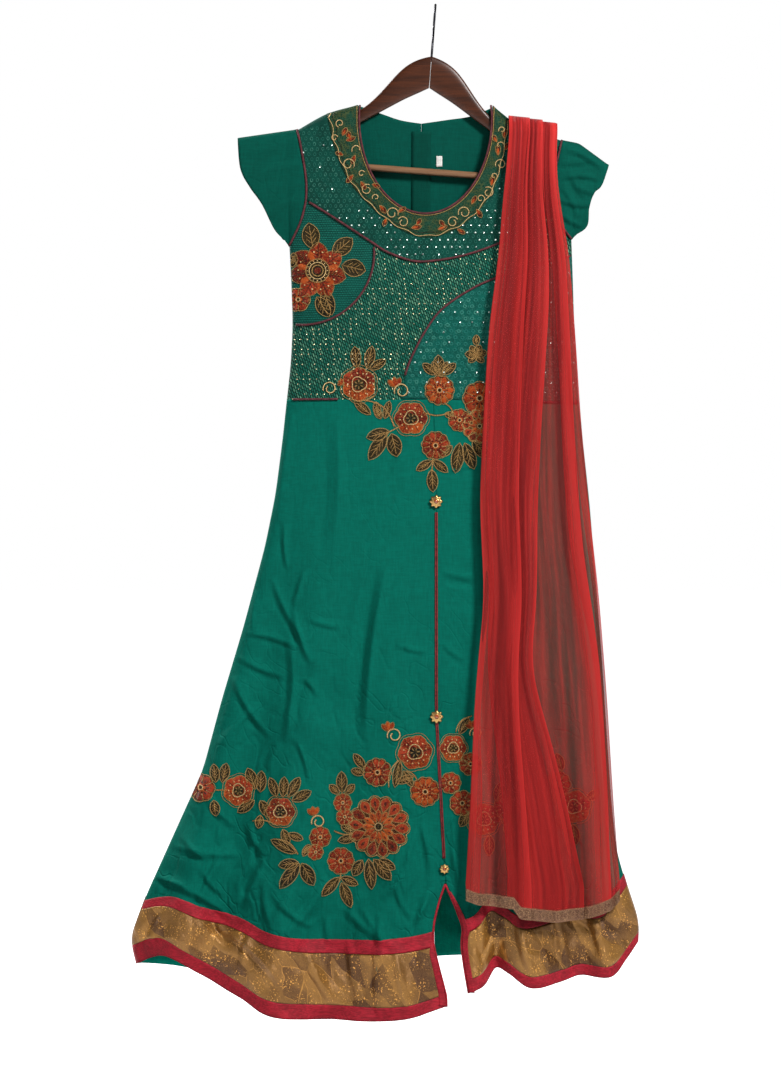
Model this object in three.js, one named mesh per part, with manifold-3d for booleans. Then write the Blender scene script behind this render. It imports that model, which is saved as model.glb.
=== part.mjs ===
// A kurta and its dupatta hanging on a wooden hanger.
// Millimetres. X runs to the right as seen from the front, Y to the back, Z up.
// The origin is the point inside the wire hook where a rail bears on it.
import * as THREE from "three";
import { mergeVertices } from "three/addons/utils/BufferGeometryUtils.js";
import Module from "manifold-3d";

const wasm = await Module();
wasm.setup();

// ---------------------------------------------------------------- driving sizes

const CLOTH = 1.5; // wall of the kurta's cotton
const SHEER = 1; // wall of the dupatta's chiffon
const GAP = 0.3; // between pieces that are sewn together
const TRIM = 0.8; // wall of a hem band
const MOTIF = 2; // height of an embroidered spray
const STEM = 6;
const PIPING_RADIUS = 1.7;
const FOLD_RADIUS = 12; // how softly the cloth turns over the shoulder
const HANG_TILT = 4.3; // degrees, right end of the hanger low

const COLOURS = {
  green: 0x0e6a57,
  sleeve: 0x0b5546,
  inside: 0x0a5a48,
  piping: 0x7a3a38,
  crimson: 0xb2203a,
  gold: 0x8c6b34,
  band: 0x5d6a36,
  motif: 0xb0492a,
  chiffon: 0xb0282a,
  lace: 0x9a7852,
  wood: 0x5a2e16,
  bar: 0x966b4b,
  steel: 0x1c1c1e,
  brass: 0xb08a3a,
  label: 0xf2f0ea,
};

// A table's rows as objects with the named columns.
const rows = (names, values) => {
  const keys = names.split(" ");
  return values.map((row) => Object.fromEntries(keys.map((key, i) => [key, row[i]])));
};

// ---------------------------------------------------------------- outlines, seen from the front

const NECK = { x: -15, z: -170, halfWidth: 102, depth: 146, rise: 8 };
const CUP = { x: -199, z: -374, radius: 107, from: 8, to: -98.6 };

const BAND_EDGE = rows("x z", [
  [-164, -163], [-152, -215], [-132, -262], [-100, -301], [-60, -334], [-13, -351],
  [41, -332], [81, -290], [100, -240], [112, -171],
]);
const SHOULDER_LEFT = rows("x z", [[-116, -149], [-163, -162], [-208, -187]]);
const SHOULDER_RIGHT = rows("x z", [[86, -152], [104, -171], [118, -181], [190, -203]]);
const ARMHOLE_LEFT = rows("x z", [
  [-208, -187], [-200, -225], [-194, -263], [-194, -294], [-202, -326], [-220, -363],
]);
const ARMHOLE_RIGHT = rows("x z", [
  [190, -203], [181, -242], [176, -280], [177, -305], [187, -330], [205, -352],
]);
const YOKE_SEAM_LEFT = rows("x z", [[-194, -294], [-151, -321], [-93.04, -359.11]]);
const YOKE_SEAM = rows("x z", [
  [-93.04, -359.11], [-71, -373], [-33, -386], [2, -385], [44, -377], [90, -361], [135, -338],
  [177, -305],
]);
const SIDE_CURVE = rows("x z", [
  [206, -376], [150, -391], [86, -413], [47, -432], [9, -459], [-14, -489], [-33, -524],
  [-45, -555], [-52, -593],
]);
const SIDE_LEFT = rows("x z", [
  [-220, -363], [-217, -420], [-215, -480], [-218, -540], [-224, -593], [-230, -650],
  [-241, -736], [-257, -815], [-290, -938], [-322, -1045], [-351, -1153], [-383, -1223],
  [-411, -1285], [-436, -1340], [-460, -1405], [-450, -1443],
]);
const SIDE_RIGHT = rows("x z", [
  [205, -352], [206, -376], [209, -470], [216, -598], [232, -745], [242, -865], [251, -985],
  [259, -1105], [265, -1195], [273, -1273], [289, -1327], [307, -1380], [305, -1409],
]);
const CENTRE_FRONT = rows("x z", [[-4, -596], [1, -747], [1, -1069], [8, -1196], [14, -1316]]);
const SLIT_LEFT = rows("x z", [
  [14, -1316], [5, -1340], [-4, -1375], [-6, -1404], [4, -1445], [15, -1487], [15, -1502],
]);
const SLIT_RIGHT = rows("x z", [
  [14, -1316], [30, -1352], [42, -1384], [39, -1409], [43, -1440], [50, -1481],
]);
const HEM_LEFT = rows("x z", [
  [-450, -1443], [-406, -1428], [-355, -1456], [-293, -1490], [-241, -1517], [-143, -1522],
  [-81, -1523], [-34, -1517], [15, -1502],
]);
const HEM_RIGHT = rows("x z", [
  [50, -1481], [72, -1470], [90, -1446], [110, -1453], [142, -1474], [188, -1466], [218, -1458],
  [262, -1460], [286, -1435], [305, -1409],
]);
const HEM_BACK_LEFT = rows("x z", [
  [-450, -1443], [-400, -1448], [-300, -1460], [-150, -1452], [0, -1440],
]);
const HEM_BACK_RIGHT = rows("x z", [[0, -1440], [120, -1430], [220, -1432], [305, -1409]]);
const BACK_NECK = rows("x z", [[-116, -149], [-79, -162], [-52, -171], [-21, -176]]);
const BACK_NECK_RIGHT = rows("x z", [[-21, -176], [21, -170], [53, -165], [86, -152]]);
const CENTRE_BACK = rows("x z", [[-21, -176], [-22, -400], [-12, -800], [0, -1440]]);
const CUFF_LEFT = rows("x z", [
  [-298, -200], [-294, -245], [-281, -271], [-262, -298], [-243, -336], [-228, -352],
]);
const CUFF_RIGHT = rows("x z", [
  [261, -241], [251, -270], [240, -281], [232, -303], [229, -331], [213, -344],
]);

// The line along the top of shoulders and sleeves, where front and back cloth turn into each other.
const TOP_LINE = rows("x z", [
  [-298, -200], [-208, -187], [-163, -162], [-116, -149], [-100, -125], [70, -125], [86, -152],
  [104, -171], [118, -181], [190, -203], [216, -208], [261, -241],
]);

// ---------------------------------------------------------------- depth of the cloth

// edge: distance of the cloth from the middle plane at the sides; front, back: how far the middle
// stands out beyond that.
const DEPTH = rows("z edge front back", [
  [-150, 9, 0, 0], [-280, 9, 8, 5], [-325, 6, 15, 8], [-348, 0.2, 19, 10], [-400, 0.2, 27, 14],
  [-470, 0.2, 32, 17], [-593, 0.2, 25, 15], [-800, 0.2, 34, 24], [-1100, 0.2, 48, 40],
  [-1450, 0.2, 60, 60],
]);

// Each fold runs down the cloth from its top to its foot and grows as it goes; out is positive.
const FRONT_FOLDS = rows("topX topZ footX footZ width out", [
  [-222, -660, -400, -1430, 34, 14], [-205, -720, -335, -1460, 36, -15],
  [-165, -760, -240, -1515, 42, 17], [-115, -800, -155, -1520, 34, -13],
  [-60, -850, -60, -1520, 40, 12], [50, -900, 62, -1480, 18, 8], [80, -1250, 90, -1450, 16, -17],
  [110, -900, 142, -1475, 34, 15], [160, -900, 214, -1460, 28, -12],
  [200, -950, 258, -1460, 22, 12],
]);
const BACK_FOLDS = rows("topX topZ footX footZ width out", [
  [-200, -700, -350, -1450, 40, -15], [-130, -750, -230, -1450, 44, 18],
  [-60, -800, -120, -1450, 40, -16], [10, -800, 5, -1440, 40, 14],
  [80, -800, 110, -1430, 38, -15], [150, -850, 200, -1430, 34, 16],
]);

const lerp = THREE.MathUtils.lerp;
const clamp = THREE.MathUtils.clamp;

// The value in column key of a table, read between its rows along column by.
function read(table, by, at, key) {
  const rising = table[1][by] > table[0][by];
  const last = table.length - 1;
  let i = 0;
  while (i < last - 1 && (rising ? at > table[i + 1][by] : at < table[i + 1][by])) i += 1;
  const share = clamp((at - table[i][by]) / (table[i + 1][by] - table[i][by]), 0, 1);
  return lerp(table[i][key], table[i + 1][key], share);
}

const swell = (table, x, z) => {
  let out = 0;
  for (const fold of table) {
    const along = clamp((fold.topZ - z) / (fold.topZ - fold.footZ), 0, 1.1);
    const middle = lerp(fold.topX, fold.footX, along);
    const reach = fold.width * (0.6 + 0.4 * along);
    out += fold.out * along * Math.exp(-(((x - middle) / reach) ** 2));
  }
  return out;
};

// Depth of the outer face at (x, z): the edge distance, a flat crown across the width, and the
// folds, all drawn in to nothing at the top line. side is -1 for the front and 1 for the back.
function depth(x, z, side) {
  const edge = read(DEPTH, "z", z, "edge");
  const crown = read(DEPTH, "z", z, side < 0 ? "front" : "back");
  const low = Math.min(z, SIDE_LEFT[0].z);
  const left = read(SIDE_LEFT, "z", low, "x");
  const right = read(SIDE_RIGHT, "z", low, "x");
  const across = clamp((x - left) / (right - left), 0, 1);
  const arch = Math.sqrt(Math.sin(Math.PI * across));
  const below = clamp((read(TOP_LINE, "x", x, "z") - z) / FOLD_RADIUS, 0, 1);
  const turn = Math.sqrt(1 - (1 - below) ** 2);
  const folds = swell(side < 0 ? FRONT_FOLDS : BACK_FOLDS, x, z) * Math.min(1, 2 * arch);
  return side * Math.max(GAP * 0.7, (edge + crown * arch + folds) * turn);
}

// The direction out of the cloth: straight up on the top line, sideways on a side seam.
function outward(x, z, side) {
  const step = 1;
  if (read(TOP_LINE, "x", x, "z") - z < step) return new THREE.Vector3(0, 0, 1);
  if (z < SIDE_LEFT[0].z) {
    if (x - read(SIDE_LEFT, "z", z, "x") < step) return new THREE.Vector3(-1, 0, 0);
    if (read(SIDE_RIGHT, "z", z, "x") - x < step) return new THREE.Vector3(1, 0, 0);
  }
  const slopeX = (depth(x + step, z, side) - depth(x - step, z, side)) / (2 * step);
  const slopeZ = (depth(x, z + step, side) - depth(x, z - step, side)) / (2 * step);
  return new THREE.Vector3(-slopeX, 1, -slopeZ).multiplyScalar(side).normalize();
}

// A point on the cloth at (x, z), moved out by a distance.
const onCloth = (side) => (point, out) =>
  new THREE.Vector3(point.x, depth(point.x, point.y, side), point.y).addScaledVector(
    outward(point.x, point.y, side),
    out,
  );
const onFront = onCloth(-1);
const onBack = onCloth(1);

// ---------------------------------------------------------------- lines and patches

const spline = (table) =>
  new THREE.SplineCurve(table.map(({ x, z }) => new THREE.Vector2(x, z)));
const even = (table, steps) => spline(table).getSpacedPoints(steps);
const atShares = (table, list) => list.map((share) => spline(table).getPointAt(share));
const atHeights = (table, heights) =>
  heights.map((z) => new THREE.Vector2(read(table, "z", z, "x"), z));
const heightsBetween = (from, to, steps) =>
  Array.from({ length: steps + 1 }, (_, i) => lerp(from, to, i / steps));
const straight = (from, to, steps) =>
  Array.from({ length: steps + 1 }, (_, i) => from.clone().lerp(to, i / steps));
// The same line with a share of its first and last steps left off.
const shorter = (line, start, end) => {
  const cut = [...line];
  cut[0] = line[0].clone().lerp(line[1], start);
  cut[cut.length - 1] = line.at(-1).clone().lerp(line.at(-2), end);
  return cut;
};
const joined = (...lines) => lines.flatMap((line, i) => (i ? line.slice(1) : line));
const turned = (line) => [...line].reverse();

// An arc's points: centre, radii, and its two ends in degrees.
function arc(x, z, radiusX, radiusZ, from, to, steps) {
  const line = [];
  for (let i = 0; i <= steps; i += 1) {
    const angle = THREE.MathUtils.degToRad(lerp(from, to, i / steps));
    line.push(new THREE.Vector2(x + radiusX * Math.cos(angle), z + radiusZ * Math.sin(angle)));
  }
  return line;
}

// How far along its line each point lies, from 0 to 1.
function shares(line) {
  const lengths = [0];
  line.slice(1).forEach((point, i) => lengths.push(lengths[i] + point.distanceTo(line[i])));
  return lengths.map((length) => length / lengths.at(-1));
}

// A grid of points spanned between four border lines, drawn in by half a gap all round.
function span(top, bottom, left, right) {
  const [u0, u1, v0, v1] = [top, bottom, left, right].map(shares);
  const grid = left.map((_, j) =>
    top.map((__, i) => {
      const u = (u0[i] + u1[i]) / 2;
      const v = (v0[j] + v1[j]) / 2;
      const point = new THREE.Vector2();
      point.addScaledVector(top[i], 1 - v).addScaledVector(bottom[i], v);
      point.addScaledVector(left[j], 1 - u).addScaledVector(right[j], u);
      point.addScaledVector(top[0], -(1 - u) * (1 - v)).addScaledVector(top.at(-1), -u * (1 - v));
      point.addScaledVector(bottom[0], -(1 - u) * v).addScaledVector(bottom.at(-1), -u * v);
      return point;
    }),
  );
  return drawnIn(grid);
}

function drawnIn(grid) {
  const lastRow = grid.length - 1;
  const lastColumn = grid[0].length - 1;
  const moved = grid.map((row) => row.map((point) => point.clone()));
  const pull = (j, i, toJ, toI) => {
    const way = grid[toJ][toI].clone().sub(grid[j][i]);
    moved[j][i].addScaledVector(way.normalize(), GAP * 0.75);
  };
  grid[0].forEach((_, i) => {
    pull(0, i, 1, i);
    pull(lastRow, i, lastRow - 1, i);
  });
  grid.forEach((_, j) => {
    pull(j, 0, j, 1);
    pull(j, lastColumn, j, lastColumn - 1);
  });
  return moved;
}

// ---------------------------------------------------------------- solids

// A closed wall between two grids of points with the same rows and columns.
function wallGeometry(outer, inner) {
  const down = outer.length;
  const across = outer[0].length;
  const points = [...outer.flat(), ...inner.flat()];
  const at2 = (layer, j, i) => layer * down * across + j * across + i;
  const faces = [];
  const quad = (a, b, c, d) => faces.push(a, b, c, a, c, d);
  for (let j = 0; j < down - 1; j += 1) {
    for (let i = 0; i < across - 1; i += 1) {
      quad(at2(0, j, i), at2(0, j + 1, i), at2(0, j + 1, i + 1), at2(0, j, i + 1));
      quad(at2(1, j, i), at2(1, j, i + 1), at2(1, j + 1, i + 1), at2(1, j + 1, i));
    }
  }
  for (let i = 0; i < across - 1; i += 1) {
    quad(at2(0, 0, i), at2(0, 0, i + 1), at2(1, 0, i + 1), at2(1, 0, i));
    quad(at2(0, down - 1, i), at2(1, down - 1, i), at2(1, down - 1, i + 1), at2(0, down - 1, i + 1));
  }
  for (let j = 0; j < down - 1; j += 1) {
    quad(at2(0, j, 0), at2(1, j, 0), at2(1, j + 1, 0), at2(0, j + 1, 0));
    quad(at2(0, j, across - 1), at2(0, j + 1, across - 1), at2(1, j + 1, across - 1), at2(1, j, across - 1));
  }
  const geometry = new THREE.BufferGeometry().setFromPoints(points);
  geometry.setIndex(faces);
  return facingOut(geometry);
}

// The same geometry with its faces turned round if it encloses a negative volume.
function facingOut(geometry) {
  const position = geometry.getAttribute("position");
  const index = geometry.index.array;
  const [a, b, c] = [new THREE.Vector3(), new THREE.Vector3(), new THREE.Vector3()];
  let volume = 0;
  for (let i = 0; i < index.length; i += 3) {
    a.fromBufferAttribute(position, index[i]);
    b.fromBufferAttribute(position, index[i + 1]);
    c.fromBufferAttribute(position, index[i + 2]);
    volume += a.dot(b.cross(c));
  }
  if (volume < 0) {
    for (let i = 0; i < index.length; i += 3) {
      [index[i + 1], index[i + 2]] = [index[i + 2], index[i + 1]];
    }
  }
  return geometry;
}

const lift = (grid, place, out) => grid.map((row) => row.map((point) => place(point, out)));

// A wall that lies on the cloth between two distances out from it.
const clothWall = (grid, place, from, to) =>
  wallGeometry(lift(grid, place, to), lift(grid, place, from));

// A round tube through points in space.
function tubeGeometry(points, radius, sides = 6) {
  const section = new THREE.Shape(
    arc(0, 0, radius, radius, 0, 360 * (1 - 1 / sides), sides - 1),
  );
  const path = new THREE.CatmullRomCurve3(points, false, "centripetal");
  return new THREE.ExtrudeGeometry(section, { steps: points.length - 1, extrudePath: path });
}

// Piping that lies along a seam line on the cloth.
const pipingGeometry = (line, place, radius = PIPING_RADIUS) =>
  tubeGeometry(line.map((point) => place(point, radius + 3 * GAP)), radius);

function solidOf(geometry) {
  const bare = geometry.clone();
  bare.deleteAttribute("normal");
  bare.deleteAttribute("uv");
  const merged = mergeVertices(bare, 1e-3);
  return new wasm.Manifold(
    new wasm.Mesh({
      numProp: 3,
      vertProperties: new Float32Array(merged.getAttribute("position").array),
      triVerts: new Uint32Array(merged.index.array),
    }),
  );
}

function geometryOf(solid) {
  const { vertProperties, triVerts, numProp } = solid.getMesh();
  const geometry = new THREE.BufferGeometry();
  const points = [];
  for (let i = 0; i < vertProperties.length; i += numProp) {
    points.push(new THREE.Vector3(...vertProperties.subarray(i, i + 3)));
  }
  geometry.setFromPoints(points);
  geometry.setIndex([...triVerts]);
  return geometry;
}

const kurtaSet = new THREE.Group();

function add(name, geometry, color, { roughness = 0.85, metalness = 0, parent = kurtaSet } = {}) {
  const mesh = new THREE.Mesh(
    geometry,
    new THREE.MeshStandardMaterial({ color, roughness, metalness }),
  );
  mesh.name = name;
  parent.add(mesh);
  return mesh;
}

// ---------------------------------------------------------------- hanger

const WIRE = { radius: 1.75, hook: 21, tipAngle: 215, startAngle: -55, foot: -76 };
const ARM_THICKNESS = 11;
const BAR = { radius: 5, z: -250, halfLength: 203 };
// The arm's outline from the middle of the hanger outwards, upper and lower edge.
const ARM = rows("x top bottom", [
  [0.15, -76.5, -126], [39, -94, -144], [55, -114, -156], [70, -134, -164], [84, -150, -173],
  [105, -171, -187], [150, -187, -207], [190, -212, -237], [204, -223, -262], [214, -238, -262],
]);

const hanger = new THREE.Group();
hanger.rotation.y = THREE.MathUtils.degToRad(HANG_TILT);
kurtaSet.add(hanger);

function armGeometry(side) {
  const outline = [
    ...ARM.map(({ x, top }) => new THREE.Vector2(side * x, top)),
    ...turned(ARM).map(({ x, bottom }) => new THREE.Vector2(side * x, bottom)),
  ];
  const bevel = 1.5;
  const geometry = new THREE.ExtrudeGeometry(new THREE.Shape(outline), {
    depth: ARM_THICKNESS - 2 * bevel,
    bevelThickness: bevel,
    bevelSize: bevel,
    bevelOffset: -bevel,
    bevelSegments: 1,
  });
  geometry.translate(0, 0, bevel - ARM_THICKNESS / 2);
  geometry.rotateX(Math.PI / 2);
  const pocket = new THREE.CylinderGeometry(BAR.radius + GAP, BAR.radius + GAP, 30, 12);
  pocket.rotateZ(Math.PI / 2);
  pocket.translate(side * (BAR.halfLength + GAP - 15), 0, BAR.z);
  return geometryOf(solidOf(geometry).subtract(solidOf(pocket)));
}

add("hanger_arm_left", armGeometry(-1), COLOURS.wood, { roughness: 0.4, parent: hanger });
add("hanger_arm_right", armGeometry(1), COLOURS.wood, { roughness: 0.4, parent: hanger });

const bar = new THREE.CylinderGeometry(BAR.radius, BAR.radius, 2 * BAR.halfLength, 12);
bar.rotateZ(Math.PI / 2);
add("hanger_bar", bar, COLOURS.bar, { roughness: 0.5, parent: hanger }).position.z = BAR.z;

function hookGeometry() {
  const { radius, hook, startAngle, tipAngle, foot } = WIRE;
  const centre = radius - hook;
  const points = [new THREE.Vector3(0, 0, foot), new THREE.Vector3(0, 0, foot + 14)];
  for (const { x: y, y: z } of arc(0, centre, hook, hook, startAngle, tipAngle, 18)) {
    points.push(new THREE.Vector3(0, y, z));
  }
  return tubeGeometry(points, radius, 8);
}
add("hanger_hook", hookGeometry(), COLOURS.steel, { roughness: 0.4, metalness: 1, parent: hanger });

// ---------------------------------------------------------------- kurta front

const SHOULDER_STEP = 8; // first point below the top line, where the cloth has turned down
const ARM_UPPER_LEFT = [-187, -187 - SHOULDER_STEP, -225, -260, -294];
const ARM_LOWER_LEFT = [-294, -328, -363];
const ARM_UPPER_RIGHT = [-203, -203 - SHOULDER_STEP, -240, -275, -305];
const ARM_LOWER_RIGHT = [-305, -328, -352];

// Shares along a line that has an extra point close to each end.
function closeEnds(near, steps) {
  const list = [0];
  for (let i = 0; i <= steps; i += 1) list.push(lerp(near, 1 - near, i / steps));
  return [...list, 1];
}

const neckArc = (inset) =>
  new THREE.SplineCurve(
    arc(
      NECK.x, NECK.z, NECK.halfWidth - inset, NECK.depth - inset,
      180 - NECK.rise, 360 + NECK.rise, 24,
    ),
  );

const yokeGrid = (() => {
  const columns = 20;
  const neck = closeEnds(0.02, columns - 2).map((share) => neckArc(0).getPointAt(share));
  const band = atShares(BAND_EDGE, closeEnds(0.016, columns - 2));
  const outer = joined(
    atHeights(ARMHOLE_LEFT, ARM_UPPER_LEFT),
    even(YOKE_SEAM_LEFT, 3),
    even(YOKE_SEAM, 9),
    turned(atHeights(ARMHOLE_RIGHT, ARM_UPPER_RIGHT)),
  );
  const between = band.map((point, i) => point.clone().lerp(outer[i], 0.5));
  return drawnIn([neck, band, between, outer]);
})();
const cupArc = arc(CUP.x, CUP.z, CUP.radius, CUP.radius, CUP.from, CUP.to, 7);
const waistLeftEnd = new THREE.Vector2(-224, -593);
const waistCurveEnd = new THREE.Vector2(-52, -593);
const waistRightEnd = new THREE.Vector2(216, -598);
const waistCentre = new THREE.Vector2(-4, -593.9);
const sideCurve = even(SIDE_CURVE, 9);

const cupGrid = span(
  even(YOKE_SEAM_LEFT, 3),
  turned(cupArc.slice(4)),
  joined(atHeights(ARMHOLE_LEFT, ARM_LOWER_LEFT), atHeights(SIDE_LEFT, [-363, -420, -480])),
  cupArc.slice(0, 5),
);
const centreGrid = span(
  joined(turned(cupArc), even(YOKE_SEAM, 9)),
  joined(straight(waistLeftEnd, waistCurveEnd, 7), turned(sideCurve)),
  atHeights(SIDE_LEFT, [-480, -518, -556, -593]),
  joined(atHeights(ARMHOLE_RIGHT, ARM_LOWER_RIGHT), atHeights(SIDE_RIGHT, [-352, -376])),
);
const sideGrid = span(
  turned(sideCurve.slice(0, 6)),
  straight(waistCurveEnd, waistRightEnd, 5),
  sideCurve.slice(5),
  atHeights(SIDE_RIGHT, [-376, -430, -490, -545, -598]),
);

// Heights of the skirt's rows at its outer edge and at the centre-front seam; the last three
// rows are the hem bands.
const BAND_ROWS = 3;
const SKIRT_LEFT = rows("outer seam", [
  [-593, -594], [-700, -700], [-810, -810], [-920, -920], [-1030, -1030], [-1130, -1130],
  [-1220, -1230], [-1275, -1316], [-1310, -1350], [-1342, -1391], [-1357, -1414],
  [-1415, -1484], [-1443, -1502],
]);
const SKIRT_RIGHT = rows("outer seam", [
  [-598, -594], [-700, -700], [-810, -810], [-920, -920], [-1030, -1030], [-1130, -1130],
  [-1200, -1230], [-1255, -1316], [-1282, -1346], [-1308, -1373], [-1324, -1393],
  [-1394, -1462], [-1409, -1481],
]);
const seamEdge = (slit, list) => {
  const line = [...CENTRE_FRONT, ...slit.slice(1)];
  return list.map(({ seam }) => new THREE.Vector2(read(line, "z", seam, "x"), seam));
};
const outerEdge = (side, list) => atHeights(side, list.map(({ outer }) => outer));

const skirtLeftGrid = span(
  straight(waistLeftEnd, waistCentre, 9),
  even(HEM_LEFT, 9),
  outerEdge(SIDE_LEFT, SKIRT_LEFT),
  seamEdge(SLIT_LEFT, SKIRT_LEFT),
);
const skirtRightGrid = span(
  straight(waistCentre, waistRightEnd, 9),
  even(HEM_RIGHT, 9),
  seamEdge(SLIT_RIGHT, SKIRT_RIGHT),
  outerEdge(SIDE_RIGHT, SKIRT_RIGHT),
);

const frontPanels = {
  yoke: yokeGrid,
  bust_panel_left: cupGrid,
  bodice_panel_centre: centreGrid,
  bodice_panel_right: sideGrid,
  skirt_front_left: skirtLeftGrid,
  skirt_front_right: skirtRightGrid,
};
for (const [name, grid] of Object.entries(frontPanels)) {
  add(name, clothWall(grid, onFront, -CLOTH, 0), COLOURS.green);
}
add("neck_band", clothWall(drawnIn(yokeGrid.slice(0, 2)), onFront, GAP, GAP + TRIM), COLOURS.band);

// ---------------------------------------------------------------- kurta back

const BACK_LEFT = rows("outer seam", [
  [-187, -176], [-195, -186], [-225, -230], [-260, -275], [-294, -320], [-328, -350],
  [-363, -390], [-480, -490], [-593, -593], [-760, -760], [-920, -920], [-1080, -1080],
  [-1220, -1220], [-1342, -1324], [-1357, -1342], [-1415, -1423], [-1443, -1440],
]);
const BACK_RIGHT = rows("outer seam", [
  [-203, -176], [-211, -186], [-240, -230], [-275, -275], [-305, -320], [-328, -350],
  [-352, -390], [-480, -490], [-598, -593], [-760, -760], [-920, -920], [-1080, -1080],
  [-1200, -1220], [-1308, -1324], [-1324, -1342], [-1394, -1423], [-1409, -1440],
]);
const centreBack = (list) => atHeights(CENTRE_BACK, list.map(({ seam }) => seam));

const backLeftGrid = span(
  joined(turned(even(SHOULDER_LEFT, 4)), atShares(BACK_NECK, [0, 0.1, 0.4, 0.7, 1])),
  even(HEM_BACK_LEFT, 8),
  outerEdge([...ARMHOLE_LEFT, ...SIDE_LEFT.slice(1)], BACK_LEFT),
  centreBack(BACK_LEFT),
);
const backRightGrid = span(
  joined(atShares(BACK_NECK_RIGHT, [0, 0.3, 0.6, 0.9, 1]), even(SHOULDER_RIGHT, 4)),
  even(HEM_BACK_RIGHT, 8),
  centreBack(BACK_RIGHT),
  outerEdge([...ARMHOLE_RIGHT, ...SIDE_RIGHT.slice(1)], BACK_RIGHT),
);
add("back_left", clothWall(backLeftGrid, onBack, -CLOTH, 0), COLOURS.green);
add("back_right", clothWall(backRightGrid, onBack, -CLOTH, 0), COLOURS.green);

// ---------------------------------------------------------------- sleeves

// A point on the sleeve: its front and back walls stay apart down to the underarm.
function sleevePoint(side, point, out) {
  const spot = onCloth(side)(point, out);
  return spot.setY(side * Math.max(side * spot.y, CLOTH + out + GAP));
}

// A cap sleeve: from the armhole to the cuff, up the front, over the top line and down the back.
function sleeveGeometry(armhole, cuff) {
  const down = 4;
  const start = armhole.map((point, i) => point.clone().lerp(cuff[i], (2 * GAP) / point.distanceTo(cuff[i])));
  const ring = (j, out) => {
    const line = start.map((point, i) => point.clone().lerp(cuff[i], j / down));
    line[0].y = read(TOP_LINE, "x", line[0].x, "z");
    const front = turned(line.slice(1)).map((point) => sleevePoint(-1, point, out));
    const back = line.slice(1).map((point) => sleevePoint(1, point, out));
    return [...front, onFront(line[0], out), ...back];
  };
  const rings = (out) => Array.from({ length: down + 1 }, (_, j) => ring(j, out));
  return wallGeometry(rings(0), rings(-CLOTH));
}
const CUFF_SHARES = [0, 0.05, 0.22, 0.42, 0.62, 0.82, 1];
const sleeves = [
  ["sleeve_left", ARMHOLE_LEFT, [...ARM_UPPER_LEFT, ...ARM_LOWER_LEFT.slice(1)], CUFF_LEFT],
  ["sleeve_right", ARMHOLE_RIGHT, [...ARM_UPPER_RIGHT, ...ARM_LOWER_RIGHT.slice(1)], CUFF_RIGHT],
];
for (const [name, table, heights, cuff] of sleeves) {
  const armhole = shorter(atHeights(table, heights), 0, 0.1);
  add(name, sleeveGeometry(armhole, atShares(cuff, CUFF_SHARES)), COLOURS.sleeve);
}

// ---------------------------------------------------------------- hem bands

const bandNames = ["hem_red_upper", "hem_gold", "hem_red_lower"];
const hemPanels = [
  ["front_left", skirtLeftGrid, onFront],
  ["front_right", skirtRightGrid, onFront],
  ["back_left", backLeftGrid, onBack],
  ["back_right", backRightGrid, onBack],
];
for (const [panel, grid, place] of hemPanels) {
  const bandRows = grid.slice(-BAND_ROWS - 1);
  bandNames.forEach((name, i) => {
    add(
      `${name}_${panel}`,
      clothWall(drawnIn(bandRows.slice(i, i + 2)), place, GAP, GAP + TRIM),
      i === 1 ? COLOURS.gold : COLOURS.crimson,
      i === 1 ? { roughness: 0.45, metalness: 0.4 } : {},
    );
  });
}

// ---------------------------------------------------------------- pipings

const PIPING_FINE = 1; // radius of the pair of pipings down the front
const beside = (line, shift) => line.map((point) => new THREE.Vector2(point.x + shift, point.y));
const addPiping = (name, line, place = onFront, radius = PIPING_RADIUS) =>
  add(name, pipingGeometry(line, place, radius), COLOURS.piping);

// A piping sewn round an edge: its middle lies beside the wall, not on it.
const edgePiping = (line, place, radius = PIPING_RADIUS) =>
  tubeGeometry(line.map((point) => place(point, -CLOTH / 2)), radius);

const neckPipingLine = neckArc(PIPING_RADIUS + 2 * GAP).getSpacedPoints(18);
add("piping_neck", edgePiping(neckPipingLine, onFront), COLOURS.piping);

const armholeLine = (table, upper, lower) =>
  shorter(atHeights(table, [...upper.slice(1), ...lower.slice(1)]), 0, 0.4);
addPiping("piping_armhole_left", armholeLine(ARMHOLE_LEFT, ARM_UPPER_LEFT, ARM_LOWER_LEFT));
addPiping("piping_armhole_right", armholeLine(ARMHOLE_RIGHT, ARM_UPPER_RIGHT, ARM_LOWER_RIGHT));
addPiping(
  "piping_yoke",
  shorter(joined(even(YOKE_SEAM_LEFT, 3), even(YOKE_SEAM, 9)), 0.16, 0.16),
);
addPiping("piping_bust_left", shorter(cupArc, 0.3, 0.3));
addPiping("piping_side_curve", shorter(sideCurve.slice(0, 9), 0.2, 0));
addPiping("piping_waist_left", shorter(straight(waistLeftEnd, waistCurveEnd, 7).slice(0, 4), 0.65, 0));
addPiping("piping_waist_right", shorter(straight(waistCentre, waistRightEnd, 9).slice(5), 0, 0.1));

const BUTTONS = rows("z radius", [[-747, 9], [-1069, 9], [-1296, 7]]);
const BUTTON_HEIGHT = 4;
const FRONT_PIPING = { top: -762, foot: -1283, steps: 9 };
const frontLine = atHeights(
  CENTRE_FRONT,
  heightsBetween(FRONT_PIPING.top, FRONT_PIPING.foot, FRONT_PIPING.steps),
);
const pairShift = PIPING_FINE + GAP;
addPiping("piping_front_left", beside(frontLine, -pairShift), onFront, PIPING_FINE);
addPiping("piping_front_right", beside(frontLine, pairShift), onFront, PIPING_FINE);

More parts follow.
